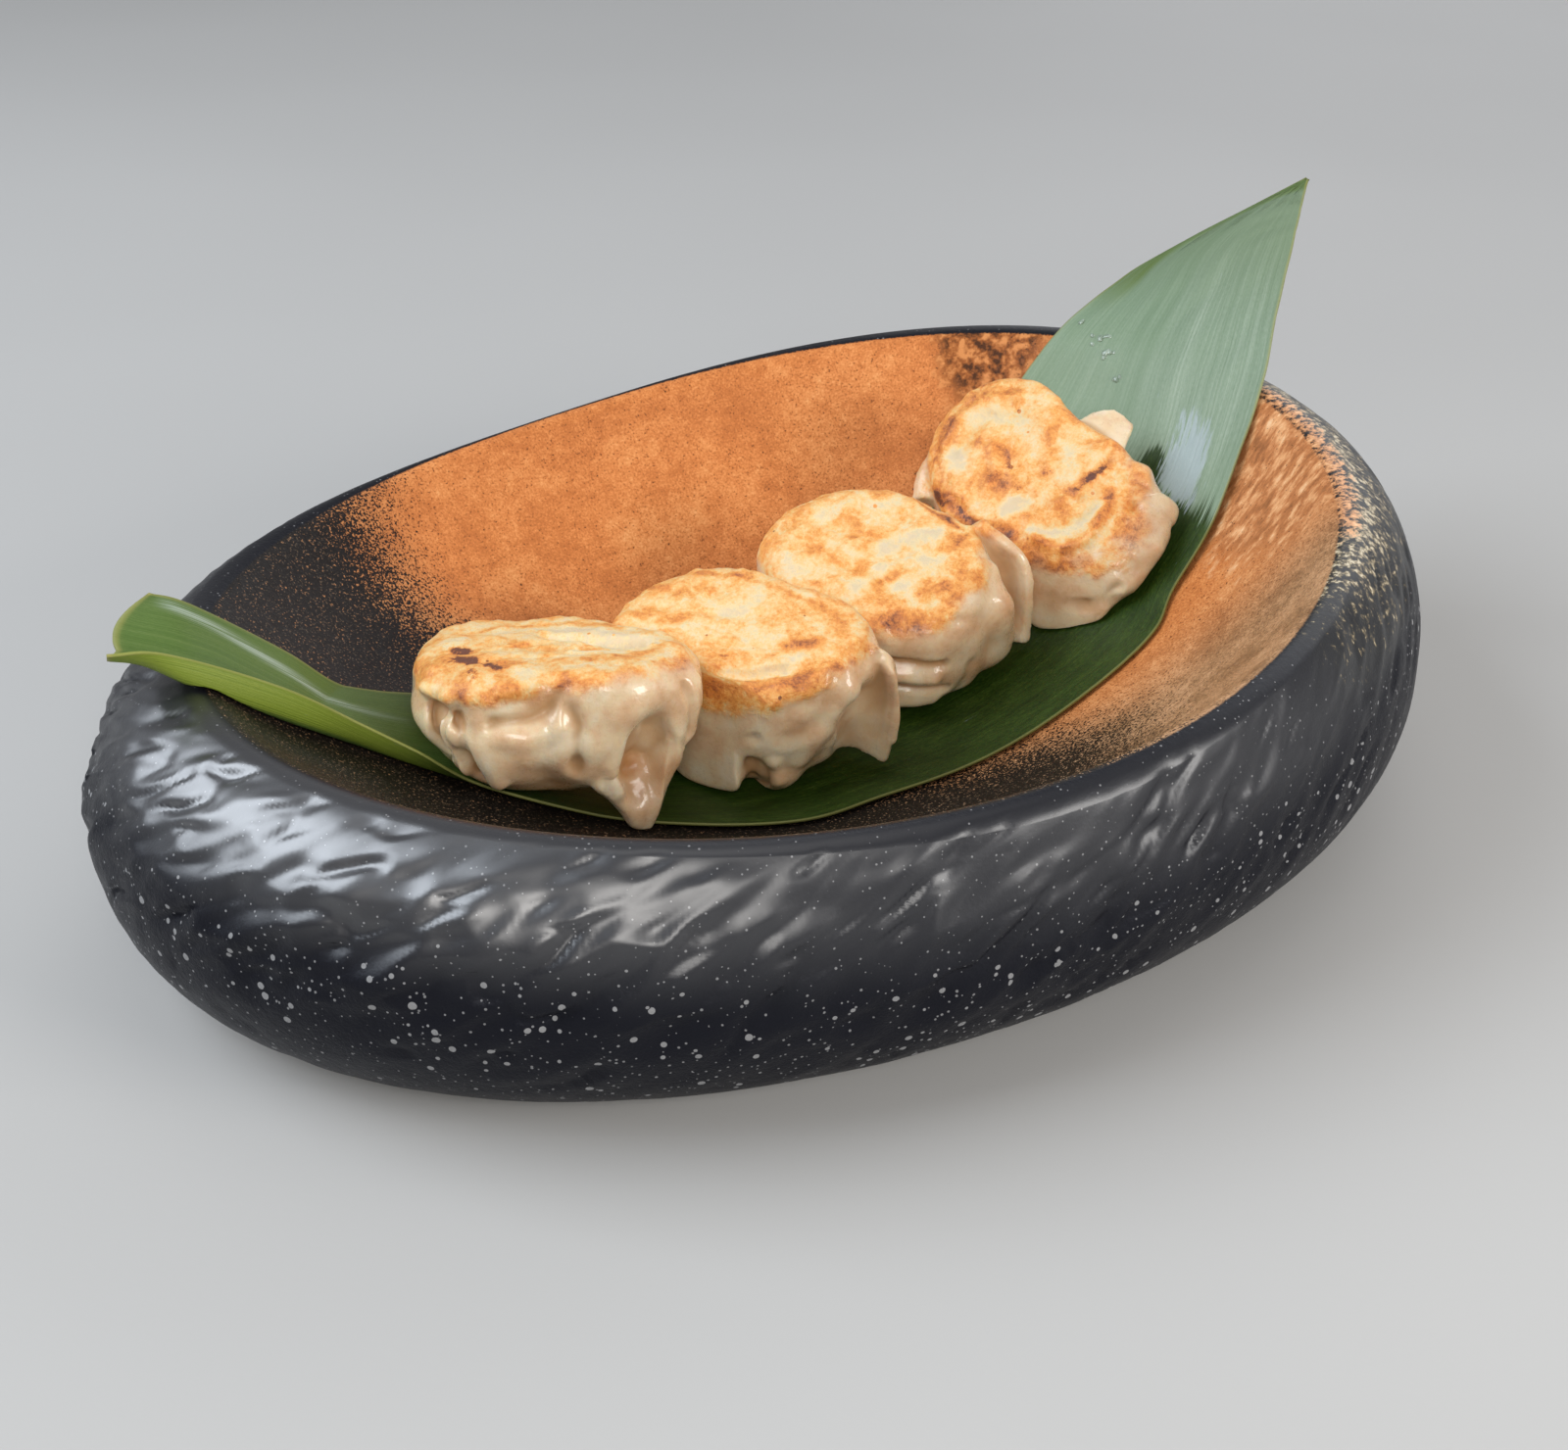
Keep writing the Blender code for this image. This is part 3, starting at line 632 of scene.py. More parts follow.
def make_bowl():
    """The bowl's skin with its hammered relief, and the masks that its material reads."""
    turns = np.linspace(0, 2 * math.pi, BOWL_SECTORS, endpoint=False)
    rings = np.array([bowl_section(a) for a in turns]).transpose(1, 0, 2)
    steps = np.linalg.norm(np.diff(rings, axis=0), axis=2)
    run = np.vstack([np.zeros(BOWL_SECTORS), np.cumsum(steps, axis=0)])
    crest = BASIN_RINGS + CREST_RINGS // 2
    down = run - run[crest]
    angle = np.broadcast_to(turns, down.shape)
    lumps, ridges = (np.zeros(down.shape) for _ in range(2))
    lumps[crest:], ridges[crest:] = hammer_marks(angle[crest:], down[crest:])
    front_left = facing(angle, HAMMERED)
    fade = smoothstep(2, 9, down) * (1 - 0.8 * smoothstep(44, 62, down))
    band = smoothstep(10, 20, down) * (1 - smoothstep(36, 50, down))
    relief = (0.08 + 0.92 * front_left) * fade * lumps + (0.02 + 0.98 * front_left ** 2) * band * ridges
    relief[rings[..., 2] <= FLAT_UNDER] = 0
    rings = rings + ring_normals(rings) * relief[..., None]
    rings[..., 2] = np.maximum(rings[..., 2], 0)
    points, faces = loft(rings, (0, 0, BASIN_FLOOR), (0, 0, 0))
    piece = add_piece("bowl_skin", points, faces, stoneware(), "dark_stoneware", "bowl")
    plan = rings[..., :2]
    right = np.cos(angle - math.radians(SPILL_ANGLE))
    glaze = 0.08 + 0.87 * facing(angle, GLOSSY) ** 8 + 0.27 * facing(angle, SATIN) ** 2
    masks = {"rust": smoothstep(-20, 26, line_side(plan, RUST_BORDER)),
             "outer": smoothstep(-2.0, 1.0, down),
             "belt": smoothstep(18, 36, down) * (1 - smoothstep(54, 82, down)),
             "spill": smoothstep(0.72, 0.97, right) * (1 - smoothstep(1, 34, down)),
             "tan": 1 - smoothstep(-74, -30, plan[..., 1] + 0.35 * (plan[..., 0] - 70)),
             "cream": round_patch(plan, (122, -42), 48) * smoothstep(-60, -25, down),
             "scorch": round_patch(plan, (108, 62), 24),
             "gloss": glaze * smoothstep(-1, 2, down) * (1 - smoothstep(15, 36, down))}
    for name, values in masks.items():
        store(piece.data, name, np.append(values.ravel(), [values[0].mean(), values[-1].mean()]))
    return piece


# ---- leaf

# The blade's far edge, middle and near edge, from the cut end to the tip
LEAF_FAR = [(-131, 38, 77), (-124, 36, 73), (-106, 36, 57), (-94, 38.5, 44), (-83, 40, 37),
            (-66, 42, 29), (-44, 42, 22), (-15, 41, 18), (8, 41, 18), (32, 42, 20), (56, 43, 26),
            (76, 44, 36), (92, 46, 50), (108, 47.5, 67.5), (120, 46.5, 79.5), (137, 48, 86),
            (153, 47, 92), (179.6, 23, 114)]
LEAF_MIDDLE = [(-143, 28, 70.5), (-134, 17.5, 67.5), (-114, 15.5, 53.5), (-98, 18, 39.5), (-86, 16, 31),
               (-70, 9, 23.5), (-48, 6, 17), (-18, 4, 13), (6, 4, 12.5), (31, 4, 14), (56, 4, 20),
               (78, 5, 31), (96, 9, 46), (114, 14, 62), (127, 16.5, 78.5), (144, 20, 90),
               (160, 24, 101), (179.3, 22.5, 114)]
LEAF_NEAR = [(-147, 18, 76), (-135, 17.5, 73), (-114, 15.5, 60), (-99, 14, 47), (-88.5, 12, 38),
             (-74, 6.5, 26), (-44, -13.5, 16), (-17, -28.5, 14.5), (5, -30.5, 14.5),
             (30, -35, 18), (56, -37, 26), (76.5, -38, 37.5), (88, -32.5, 44), (104, -28.5, 57.5),
             (128.8, -15.5, 79.5), (147, -1.5, 91.5), (162, 9.5, 101.5), (179, 22, 114)]


def leaf_surface(bowl_tree):
    """A grid of points on the leaf's underside, lifted clear of the bowl."""
    far, middle, near = (spline(line, LEAF_STATIONS) for line in (LEAF_FAR, LEAF_MIDDLE, LEAF_NEAR))
    grid = np.empty((LEAF_STATIONS, LEAF_STRIPS + 1, 3))
    for i, (f, m, n) in enumerate(zip(far, middle, near)):
        first, second = np.linalg.norm(m - f), np.linalg.norm(n - m)
        bend = first / (first + second)
        for j, t in enumerate(np.linspace(0, 1, LEAF_STRIPS + 1)):
            at_far = (t - bend) * (t - 1) / bend
            at_middle = t * (1 - t) / (bend * (1 - bend))
            at_near = t * (t - bend) / (1 - bend)
            grid[i, j] = at_far * f + at_middle * m + at_near * n
    outward = middle[0] - middle[1]
    outward /= np.linalg.norm(outward)
    to_middle = np.minimum(np.linspace(0, 2, LEAF_STRIPS + 1), 1)
    bulge = LEAF_CUT_BULGE * 4 * to_middle * (1 - to_middle)
    for i, share in enumerate(np.linspace(1, 0, LEAF_CUT_STATIONS)):
        grid[i] += outward * (bulge * share ** 2)[:, None]
    return kept_above(grid.reshape(-1, 3), [bowl_tree], LEAF_LIFT).reshape(grid.shape)


def leaf_masks(along, across, share):
    """Where each of the leaf's tones lies."""
    width = across[:, -1:]
    to_edge = np.minimum(across, width - across)
    root = 1 - smoothstep(58, 92, along)
    upright = smoothstep(262, 292, along + 26 * (0.5 - share))
    beside_food = np.exp(-((along - 287) / 6.0) ** 2 - ((share - 0.60) / 0.06) ** 2)
    beside_food = beside_food + (1 - smoothstep(280, 286, along)) * smoothstep(0.7, 0.8, share)
    wet = smoothstep(280, 289, along) * (1 - smoothstep(294, 314, along))
    wet = wet * smoothstep(0.56, 0.72, share) * (1 - smoothstep(0.78, 0.92, share))
    near_flap = root * smoothstep(0.72, 0.80, share)
    far_line = np.exp(-((share - 0.04 - 0.0032 * along) / 0.035) ** 2) * smoothstep(2, 10, along)
    strip = smoothstep(318, 345, along) * (1 - smoothstep(5.5, 9.0, across))
    # pale: the painted sheen on the upright part, kept off beside the food; wet: the wet patch, which also
    # gets a painted sheen
    return {"pale": upright * (1 - np.clip(beside_food, 0, 1)),
            "lime": near_flap,
            "inner": root * (1 - near_flap),
            "shade": upright * (1 - smoothstep(0.40, 0.50, share)),
            "wet": wet,
            "streak": far_line * (1 - smoothstep(55, 80, along)),
            "olive": strip,
            "far_up": smoothstep(322, 362, along),
            "edge": 0.6 * (1 - smoothstep(0.2, 0.6, to_edge)) + 0.7 * (1 - smoothstep(0.3, 1.6, along))}


def make_leaf(bowl):
    """The leaf's blade over the bowl, with its veins, its thickness and its masks."""
    grid = leaf_surface(surface_tree(bowl))
    along = np.cumsum(np.linalg.norm(np.diff(grid, axis=0, prepend=grid[:1]), axis=2), axis=0)
    along = np.broadcast_to(along.mean(axis=1, keepdims=True), along.shape)
    across = np.cumsum(np.linalg.norm(np.diff(grid, axis=1, prepend=grid[:, :1]), axis=2), axis=1)
    share = across / np.maximum(across[:, -1:], 1e-6)
    normal = np.cross(np.gradient(grid, axis=0), np.gradient(grid, axis=1))
    normal /= np.maximum(np.linalg.norm(normal, axis=2, keepdims=True), TINY)
    inside = np.minimum(share, 1 - share)
    flat = np.stack([along / 3, across, 0 * across], axis=-1).reshape(-1, 3)
    uneven = waves(flat, 9.0, 2.0, 2).reshape(share.shape)
    ribs = VEIN_HEIGHT * np.sin(2 * math.pi * VEINS * share + 2.0 * uneven) * smoothstep(0, 0.04, inside)
    ribs = ribs * (0.6 + uneven) * (0.4 + 0.6 * smoothstep(265, 290, along))
    waviness = 0.5 * uneven * smoothstep(285, 310, along)
    grid = grid + normal * (ribs * smoothstep(0, 20, along) + waviness)[..., None]
    faces = grid_faces(LEAF_STATIONS, LEAF_STRIPS + 1)
    piece = add_piece("leaf_blade", grid.reshape(-1, 3), faces, leaf_look(), "green_leaf", "leaf")
    blade = np.stack([along, share * BLADE_WIDTH, np.zeros(along.shape)], axis=-1)
    store(piece.data, "blade", blade.reshape(-1, 3))
    for name, values in leaf_masks(along, across, share).items():
        store(piece.data, name, values.ravel())
    thicken = piece.modifiers.new("thickness", "SOLIDIFY")
    thicken.thickness = LEAF_THICKNESS * MM
    thicken.offset = -1.0
    apply_modifiers(piece)
    return piece


# Drops on the upright part: (height up the line of drops, offset across, half-width) in millimetres.
DROPS = [(0, 0, 0.9), (3, -3.5, 0.6), (5, 1.5, 0.7), (8, -1, 1.1), (9.5, -3, 0.8), (11, 2.5, 0.6),
         (13.5, -2, 0.9), (15, 4.5, 0.8), (17, -6, 0.6), (19, -8.5, 0.7), (6, 5.5, 0.6), (12, -6.5, 0.5)]
DROPS_FOOT = (119.0, 25.0)
DROPS_ABOVE = 200.0
DROP_RINGS = 7
DROP_SIDES = 20


def drop_skin(centre, up, radius, seed):
    """A low drop of water, a little uneven in plan."""
    side = up.orthogonal().normalized()
    other = up.cross(side)
    rings = []
    for turn in np.linspace(0.12, 0.5 * math.pi, DROP_RINGS):
        ring = []
        for a in np.linspace(0, 2 * math.pi, DROP_SIDES, endpoint=False):
            uneven = 1 + 0.22 * math.sin(2 * a + seed) + 0.1 * math.sin(3 * a - seed)
            reach = radius * math.sin(turn) * uneven
            at = centre + side * (reach * math.cos(a)) + other * (reach * math.sin(a))
            ring.append(tuple(at + up * (0.5 * radius * math.cos(turn))))
        rings.append(ring)
    return loft(np.array(rings), tuple(centre + up * 0.5 * radius), tuple(centre - up * 0.1))


def make_drops(leaf):
    tree = surface_tree(leaf)
    parts = []
    for seed, (rise, offset, radius) in enumerate(DROPS):
        above = Vector((DROPS_FOOT[0] + 0.25 * rise, DROPS_FOOT[1] + 0.9 * rise + offset, DROPS_ABOVE))
        hit, normal = tree.ray_cast(above, Vector((0, 0, -1)))[:2]
        if hit is not None:
            parts.append(drop_skin(hit, normal, radius, 1.3 * seed))
    return add_piece("leaf_drops", *merged(parts), water_look(), "green_leaf")


# ---- dumplings
# Section of a dumpling from the middle of its fried face, over the shoulder and the bulging side,
# to the middle of its underside: (share of the outline's reach, share of the height).
SECTION = [(0.0, 0.0), (0.5, 0.0), (0.82, 0.02), (0.965, 0.11), (1.03, 0.32), (1.04, 0.6),
           (0.97, 0.84), (0.8, 0.98), (0.5, 1.0), (0.0, 0.96)]

# Each dumpling in its own frame: X runs along it, -Y is its pleated front and +Z its fried face.
# centre: middle of the fried face. turn: yaw, tilt and roll in degrees. outline: reach of the face
# every 45 degrees from +X. draw_in: share by which the underside is narrower. shear: how far the
# underside lies off the face's middle. lean: the direction in which the leaf holds it up. flaps:
# (thickness, root line, free edge, bow). strokes: (push out, radius, line), pressed into the dough one
# after another. details: the same, finer, pressed in once the skin is whole. toast and char:
# (strength, radius, line) of browner, paler (below 0) and burnt places; the browner toast marks
# along the side grooves and in the pockets by the flaps are painted shade. crust: height of the
# crust's border at the left and at the right end. pulls: (shift, radius, line). A line's points are
# (x, y, z), or (x, y) on the fried face.
DUMPLINGS = {}
DUMPLINGS["dumpling_1"] = dict(
    centre=(-57, 12, 53.5), turn=(-27, -8, 0), outline=(34.5, 28, 24, 31, 27.8, 24.5, 18.5, 27.5),
    height=29.5, draw_in=0.25, shear=(0, 1), lean=(0, 0, 1), crust=(-5, -2.2),
    flaps=[
        (3, [(7, -12, -19), (14, -6.5, -19), (21, -4.5, -19), (29, -9, -15)],
         [(9.5, -17.5, -27), (14.2, -15.5, -33), (18, -13.6, -38.4), (21, -12.8, -38.6), (24.4, -13.2, -31)],
         (0.2, -1.4, 0.3))],
    pulls=[((0, -1.2, 0.2), 3.4, [(13, -17, -24), (15, -16.5, -30), (18, -14, -36)])],
    strokes=[
        (2.4, 8, [(-28, -5, -12), (-26, -10, -14)]), (1.6, 5, [(-20.5, -14, -13), (-20, -14, -20)]),
        (2, 6.5, [(-14, -16, -15), (-13, -16, -23)]),
        (-3.6, 3.4, [(-22.6, -12.3, -6), (-22, -13, -14), (-19, -13, -20)]),
        (-3.6, 3.4, [(-17.7, -15, -8), (-16.9, -15.4, -15), (-15.6, -15, -24)]),
        (-1.2, 3.2, [(-11.2, -16.8, -9), (-11, -16.8, -14)]), (2.5, 12, [(-4, -17, -17), (6, -17, -19)]),
        (-0.8, 2.6, [(0.5, -18, -8), (0.5, -18.5, -15)]), (-1.6, 3.2, [(5.3, -18, -10), (5.6, -19, -20)]),
        (-4.5, 9, [(22, -16, -16), (21, -15.5, -21), (19, -14, -25)]),
        (2.6, 8, [(29, -9, -9), (29.5, -9, -17)]), (-1.4, 5, [(7, -3), (22, -1)])],
    details=[
        (2.4, 2.6, [(-27, -7, -4), (-22.6, -10, -5), (-19.5, -13, -5.2)]),
        (-2.6, 2.4, [(-23.4, -10.4, -8.5), (-23.4, -11.2, -13), (-21.8, -11.4, -19)]),
        (-2.6, 2.3, [(-18.8, -14, -9.5), (-17.6, -13.5, -17), (-15.2, -12.6, -25)]),
        (1.6, 2.4, [(-21.2, -12, -9.5), (-20.6, -12, -17), (-17.2, -12.6, -23)]),
        (1.2, 3, [(-14, -16.5, -9), (-13, -16.5, -17), (-11, -16, -24)]),
        (-1, 2.4, [(-11.4, -18.5, -9.4), (-4, -19, -9.2), (0, -18.5, -7.5), (4.4, -17, -3)]),
        (0.8, 3.6, [(-10, -18.9, -13), (-3.9, -19.6, -13.5), (3, -19, -11)]),
        (-2.2, 3.2, [(17.4, -16, -16), (17.2, -15, -21), (17.6, -14, -24)]),
        (1, 5, [(19.5, -11, -27), (19.6, -13.5, -33)]),
        (-0.9, 3, [(5.1, -19.5, -7.5), (6.1, -20, -11.7), (5.4, -19, -22)]),
        (1.5, 2.8, [(14.5, -17.5, -13), (12.6, -18, -21), (14, -16.5, -28)]),
        (1.5, 2.6, [(26, -13, -10), (27.5, -12.5, -17), (26, -11, -24)]),
        (-1.1, 1.8, [(29.7, -13.6, -6), (31, -13, -11), (30.8, -11.3, -19)]),
        (1.3, 3, [(-8.5, -17.6, -2.8), (-2.2, -17, -2.6)]),
        (-1.6, 2.8, [(1.5, 7), (12, 2.5), (22, 0.6, -1)]),
        (0.9, 1.5, [(6, -3.5, -1), (16.9, -4.6, -0.6), (24, -1.6, -0.8)]),
        (-0.6, 1.2, [(-24, 1), (-10, 0), (4, 2.5)]), (-0.5, 1.1, [(-18, -8), (-6, -6), (5, -6.5)])],
    toast=[
        (0.3, 9, [(-19, -3), (-11, -8)]), (0.16, 5, [(-5, 1), (2, 0)]),
        (0.2, 3.2, [(-8, -10), (6, -10), (20, -9), (26, -3, -1)]),
        (0.22, 2.2, [(-14, 13), (0, 16), (16, 12)]), (-0.22, 3.2, [(3, 6.5), (12, 2.6), (23, 0.8)]),
        (-0.26, 1.7, [(7, -3.2, -1), (17, -4.8), (25, -1.6, -1)]),
        (-0.2, 2.6, [(-2, 12.7), (10.5, 8.9), (26.9, -0.7)]),
        (-0.18, 3.5, [(-24, -9, -4), (-15, -16, -5)]),
        (0.28, 3, [(-2.5, -18.2, -5.8), (3.8, -18.3, -2.8), (5, -16.7, -0.8)]),
        (0.22, 4, [(-17.6, -16.6, -4.7), (-11.5, -18.4, -4.5)]),
        # the next four marks are painted shade: the hollow by the flap and three side grooves
        (0.42, 4.5, [(18, -13, -17), (17.4, -12, -23)]),
        (0.14, 2.4, [(-23.4, -11, -8), (-22.4, -11, -17)]),
        (0.14, 2.4, [(-18.8, -14, -10), (-16, -13, -23)]), (0.12, 2.2, [(5.3, -19, -10), (5.6, -19, -20)])],
    char=[
        (1, 1.5, [(-18.8, 3.3), (-16.2, 1.8)]), (1, 1.6, [(-18.1, -4.2), (-15.2, -6.2)]),
        (0.8, 1.3, [(-11.7, -9.7), (-9.5, -10.8)]), (0.9, 1.1, [(-14.8, -11.6), (-14.5, -14.8, -1)]),
        (0.45, 6, [(-17, 0), (-13, -8)])])
DUMPLINGS["dumpling_2"] = dict(
    centre=(-16, 2, 51), turn=(-38, 20, -2), outline=(34, 22.5, 21, 24, 28, 25, 22.5, 27.5), height=36,
    draw_in=0.2, shear=(0, -2), lean=(0, 0, 1), crust=(-9.5, -2.8),
    flaps=[
        (3.8, [(25, -7, -6), (22, -12, -13), (19, -14, -20), (18, -14, -27)],
         [(32.5, -5, -4), (36.6, -5, -8), (37.6, -6.4, -15), (37, -8.4, -24), (34.8, -11, -34)],
         (-0.8, 4, 0))],
    pulls=[((0.4, -1.6, 0.4), 3, [(37, -5.5, -6), (37.6, -7, -16), (36.6, -9, -26), (35, -11, -33)])],
    strokes=[
        (-1, 3.2, [(-4, -15), (8, -15), (15, -13)]),
        (1.2, 4, [(-6, -20, -2.5), (8, -20, -3), (22, -16, -3)]),
        (7, 9.5, [(-9, -22, -27), (0, -24, -27)]), (5, 7, [(12, -21, -29)]),
        (-2.6, 5.5, [(5.4, -25, -22), (5.4, -23, -35)]), (-6, 9.5, [(30, -13, -15), (30, -12, -25)]),
        (1.6, 5, [(26, -13, -7), (20, -19, -14), (16, -21, -22)]),
        (-1.2, 2, [(-1, -20, -17), (-3, -20, -21.5), (-7, -20, -24)])],
    details=[
        (-1.4, 2.2, [(-4, -13.7, -3), (4.8, -14.4, -1), (13.3, -13, -1)]),
        (1.3, 2.6, [(-4, -17, -7), (5, -18.5, -4), (14, -17.5, -2), (22, -13.5, -1.5)]),
        (-1.3, 1.2, [(-8, -19.4, -24), (-3.6, -21, -21.6), (-1.9, -20.3, -17.5)]),
        (-1.6, 2.8, [(-6, -18, -12), (0, -21, -14), (6, -23, -12)]),
        (-1.8, 2.6, [(4.9, -21, -19), (5, -20.5, -28)]), (1.4, 3, [(10.4, -23, -20), (11.4, -24, -26)]),
        (1.4, 3, [(0, -23, -19), (-1, -24, -26)]),
        (0.5, 3.6, [(17.7, -20.3, -7), (24, -16.5, -6), (29, -13.4, -8)]),
        (-0.6, 4, [(14, -22, -13), (20, -19, -12), (26, -15.5, -12)]),
        (1.1, 2.2, [(36.4, -6, -7), (37.4, -7.4, -16), (36.2, -9.6, -27)]),
        (-0.5, 1.6, [(-16, 6), (-4, 3), (8, 3)]), (-0.5, 1.5, [(-8, -7), (6, -6), (18, -8)])],
    toast=[
        (0.25, 4.5, [(-5, -16, -7), (0.3, -17.1, -6), (9.3, -18.2, -1.5), (17.7, -15, -0.6)]),
        (0.18, 3.4, [(17.7, -14.8, -0.6), (24, -11.6, -1)]), (0.22, 3, [(-5, -16, -10), (1, -18, -9)]),
        (-0.34, 2.4, [(-4, -13.2, -3), (4.8, -13.9, -1), (13.3, -12.4, -1)]),
        (0.24, 3, [(-22.5, 3.7), (-19.1, 3.7)]), (0.18, 3, [(-10.7, 9.5), (-5.2, 10)]),
        (0.26, 2.8, [(13.1, -6.2), (19.6, -5.3)]), (0.18, 3, [(-13.5, 1.7), (-9.1, 2.2)]),
        (0.16, 3.4, [(-3, -8), (4, -10)]), (-0.2, 3.2, [(-18.3, 7.1), (-15, 7.8)]),
        (-0.24, 3.2, [(-1.4, 2.8), (2.8, 4.5)]), (-0.22, 2.8, [(-8.9, -0.2), (-5.7, 0.4)]),
        (-0.22, 2.4, [(13.3, -10.3), (17.5, -9)]),
        (0.24, 2, [(-8, 17), (3.4, 15.1), (12.5, 10.6), (19.2, 6.9), (26, 1)]),
        # these two marks are painted shade: the hollow above the flap and the notch between the lobes
        (0.3, 5, [(27, -13, -17), (28, -12, -26)]), (0.3, 3, [(5, -21, -20), (5, -20, -28)]),
        (0.06, 90, [(0, 0)])],
    char=[
        (0.7, 0.9, [(-3.4, -12.7, -1.3)]), (0.9, 0.9, [(1.1, -12.8, -0.5), (2.2, -12.4, -0.4)]),
        (0.8, 0.8, [(-0.7, -9.5), (0.6, -9.3)]), (0.7, 0.8, [(-3.1, -6.6)]), (0.6, 0.8, [(4.2, 0)]),
        (0.7, 0.8, [(-4.4, 4.8), (-2.6, 4.8)]), (0.6, 0.9, [(12.6, -6.7), (15, -6.2)]),
        (0.7, 0.7, [(25, -6.2)]),
        (0.75, 0.7, [(-7.6, -19.4, -23.8), (-3.6, -21, -21.4), (-1.9, -20.3, -18)]),
        (1.2, 2.4, [(35, -11, -35)])])
DUMPLINGS["dumpling_3"] = dict(
    centre=(33, 14, 53), turn=(-52, 26, 0), outline=(30, 22, 20, 23.5, 29, 26, 26, 30.5), height=38,
    draw_in=0.2, shear=(2, -5), lean=(0, 0, 1), crust=(-4.5, -2.5),
    flaps=[
        (2.6, [(19, 9, -3), (23, 7, -8), (26, 4, -14), (27, 1, -20), (27, -4, -27)],
         [(24, 11.5, -1.8), (30, 9, -3.6), (35.7, 6.8, -8), (37.6, 2.5, -15), (37, -3, -26.5)],
         (0, 2, -1.5))],
    strokes=[
        (-3, 4.5, [(29, 7, -9), (31, 5, -15), (32, 4, -20)]),
        (4, 8, [(30, -5, -12), (32, -6, -20), (30, -7, -26)]),
        (3, 6, [(8, -24, -31), (17, -22, -33), (25, -16, -30)]),
        (-2.2, 3.4, [(9, -25, -26), (16, -24, -28), (23, -19, -25), (26, -17, -18)])],
    details=[
        (-2, 2.6, [(9, -27.5, -9), (15, -26.5, -10), (22, -23.5, -12.5)]),
        (1.4, 2.6, [(12, -28, -13.4), (20, -25, -16)]),
        (-2.6, 2.4, [(10, -28.2, -17.4), (16, -27, -18.8), (22, -24.5, -21)]),
        (1.6, 3.2, [(11, -27.5, -23), (19, -24.5, -25)]),
        (1.2, 3.2, [(28, 1, -6), (31, -3, -13), (33, -5.5, -21)]),
        (-0.8, 2.4, [(24, -16, -4), (27.5, -12, -7), (29, -9, -13)]),
        (-0.5, 1.8, [(-14, 4), (-4, 2), (6, 2)]), (-0.5, 1.6, [(-8, -8), (2, -8), (10, -14)]),
        (0.5, 2, [(11, -3), (15, 4)])],
    toast=[
        (0.22, 4.2, [(5, -22, -1.5), (9, -21, -1)]), (0.18, 4.2, [(11, -19, -0.3), (17, -21, -2)]),
        (0.2, 3.6, [(-14.1, -4.6), (-7.9, -4.9)]), (0.28, 1.6, [(-5.6, 1), (-4.7, 1.2)]),
        (0.24, 3.4, [(15.5, -13.2), (20.5, -9)]), (0.22, 2.6, [(5.4, -10.4), (7.9, -8.8)]),
        (0.2, 2.6, [(18, 6), (22.4, 2.4), (23.8, -9, -1), (21.6, -15, -1)]),
        (-0.22, 4, [(-13.1, 5.4), (-10.3, 8.9)]), (-0.26, 2.8, [(-0.5, -14), (4.3, -7)]),
        (-0.26, 4.2, [(3.1, -1.2), (9, 4.3), (14.7, 5.3)]), (-0.24, 3, [(14.1, -2.4), (17.5, -1.7)]),
        (-0.22, 3, [(9.4, -12), (13.4, -9.3)]), (-0.2, 3, [(-0.2, 12.1), (2.9, 14.4)]),
        (0.42, 1.8, [(6, 17, -0.4), (12, 13, -0.4), (19, 9, -0.6)]),
        # the next three marks are painted shade: the pocket behind the flap and two side grooves
        (0.32, 4, [(29.5, 6, -11), (31.5, 3.5, -16), (34, 1.5, -20.5)]),
        (0.3, 2.6, [(10, -28, -17), (16, -27, -18.6), (22, -24.5, -21)]),
        (0.26, 2.8, [(9, -27.5, -9), (15, -26.5, -10), (22, -23.5, -12.5)]), (0.07, 90, [(0, 0)])],
    char=[
        (0.45, 1.8, [(5, -24, -2), (8.1, -25.5, -3.4)]),
        (0.4, 1.2, [(8.8, -20.5, -0.5), (10.1, -22.1, -1)]), (0.5, 0.8, [(-5.4, 1)]),
        (0.45, 0.8, [(6.8, -9.2)]), (0.4, 0.7, [(0.6, -5.4)]), (0.45, 0.8, [(19.6, -13, -1)])])
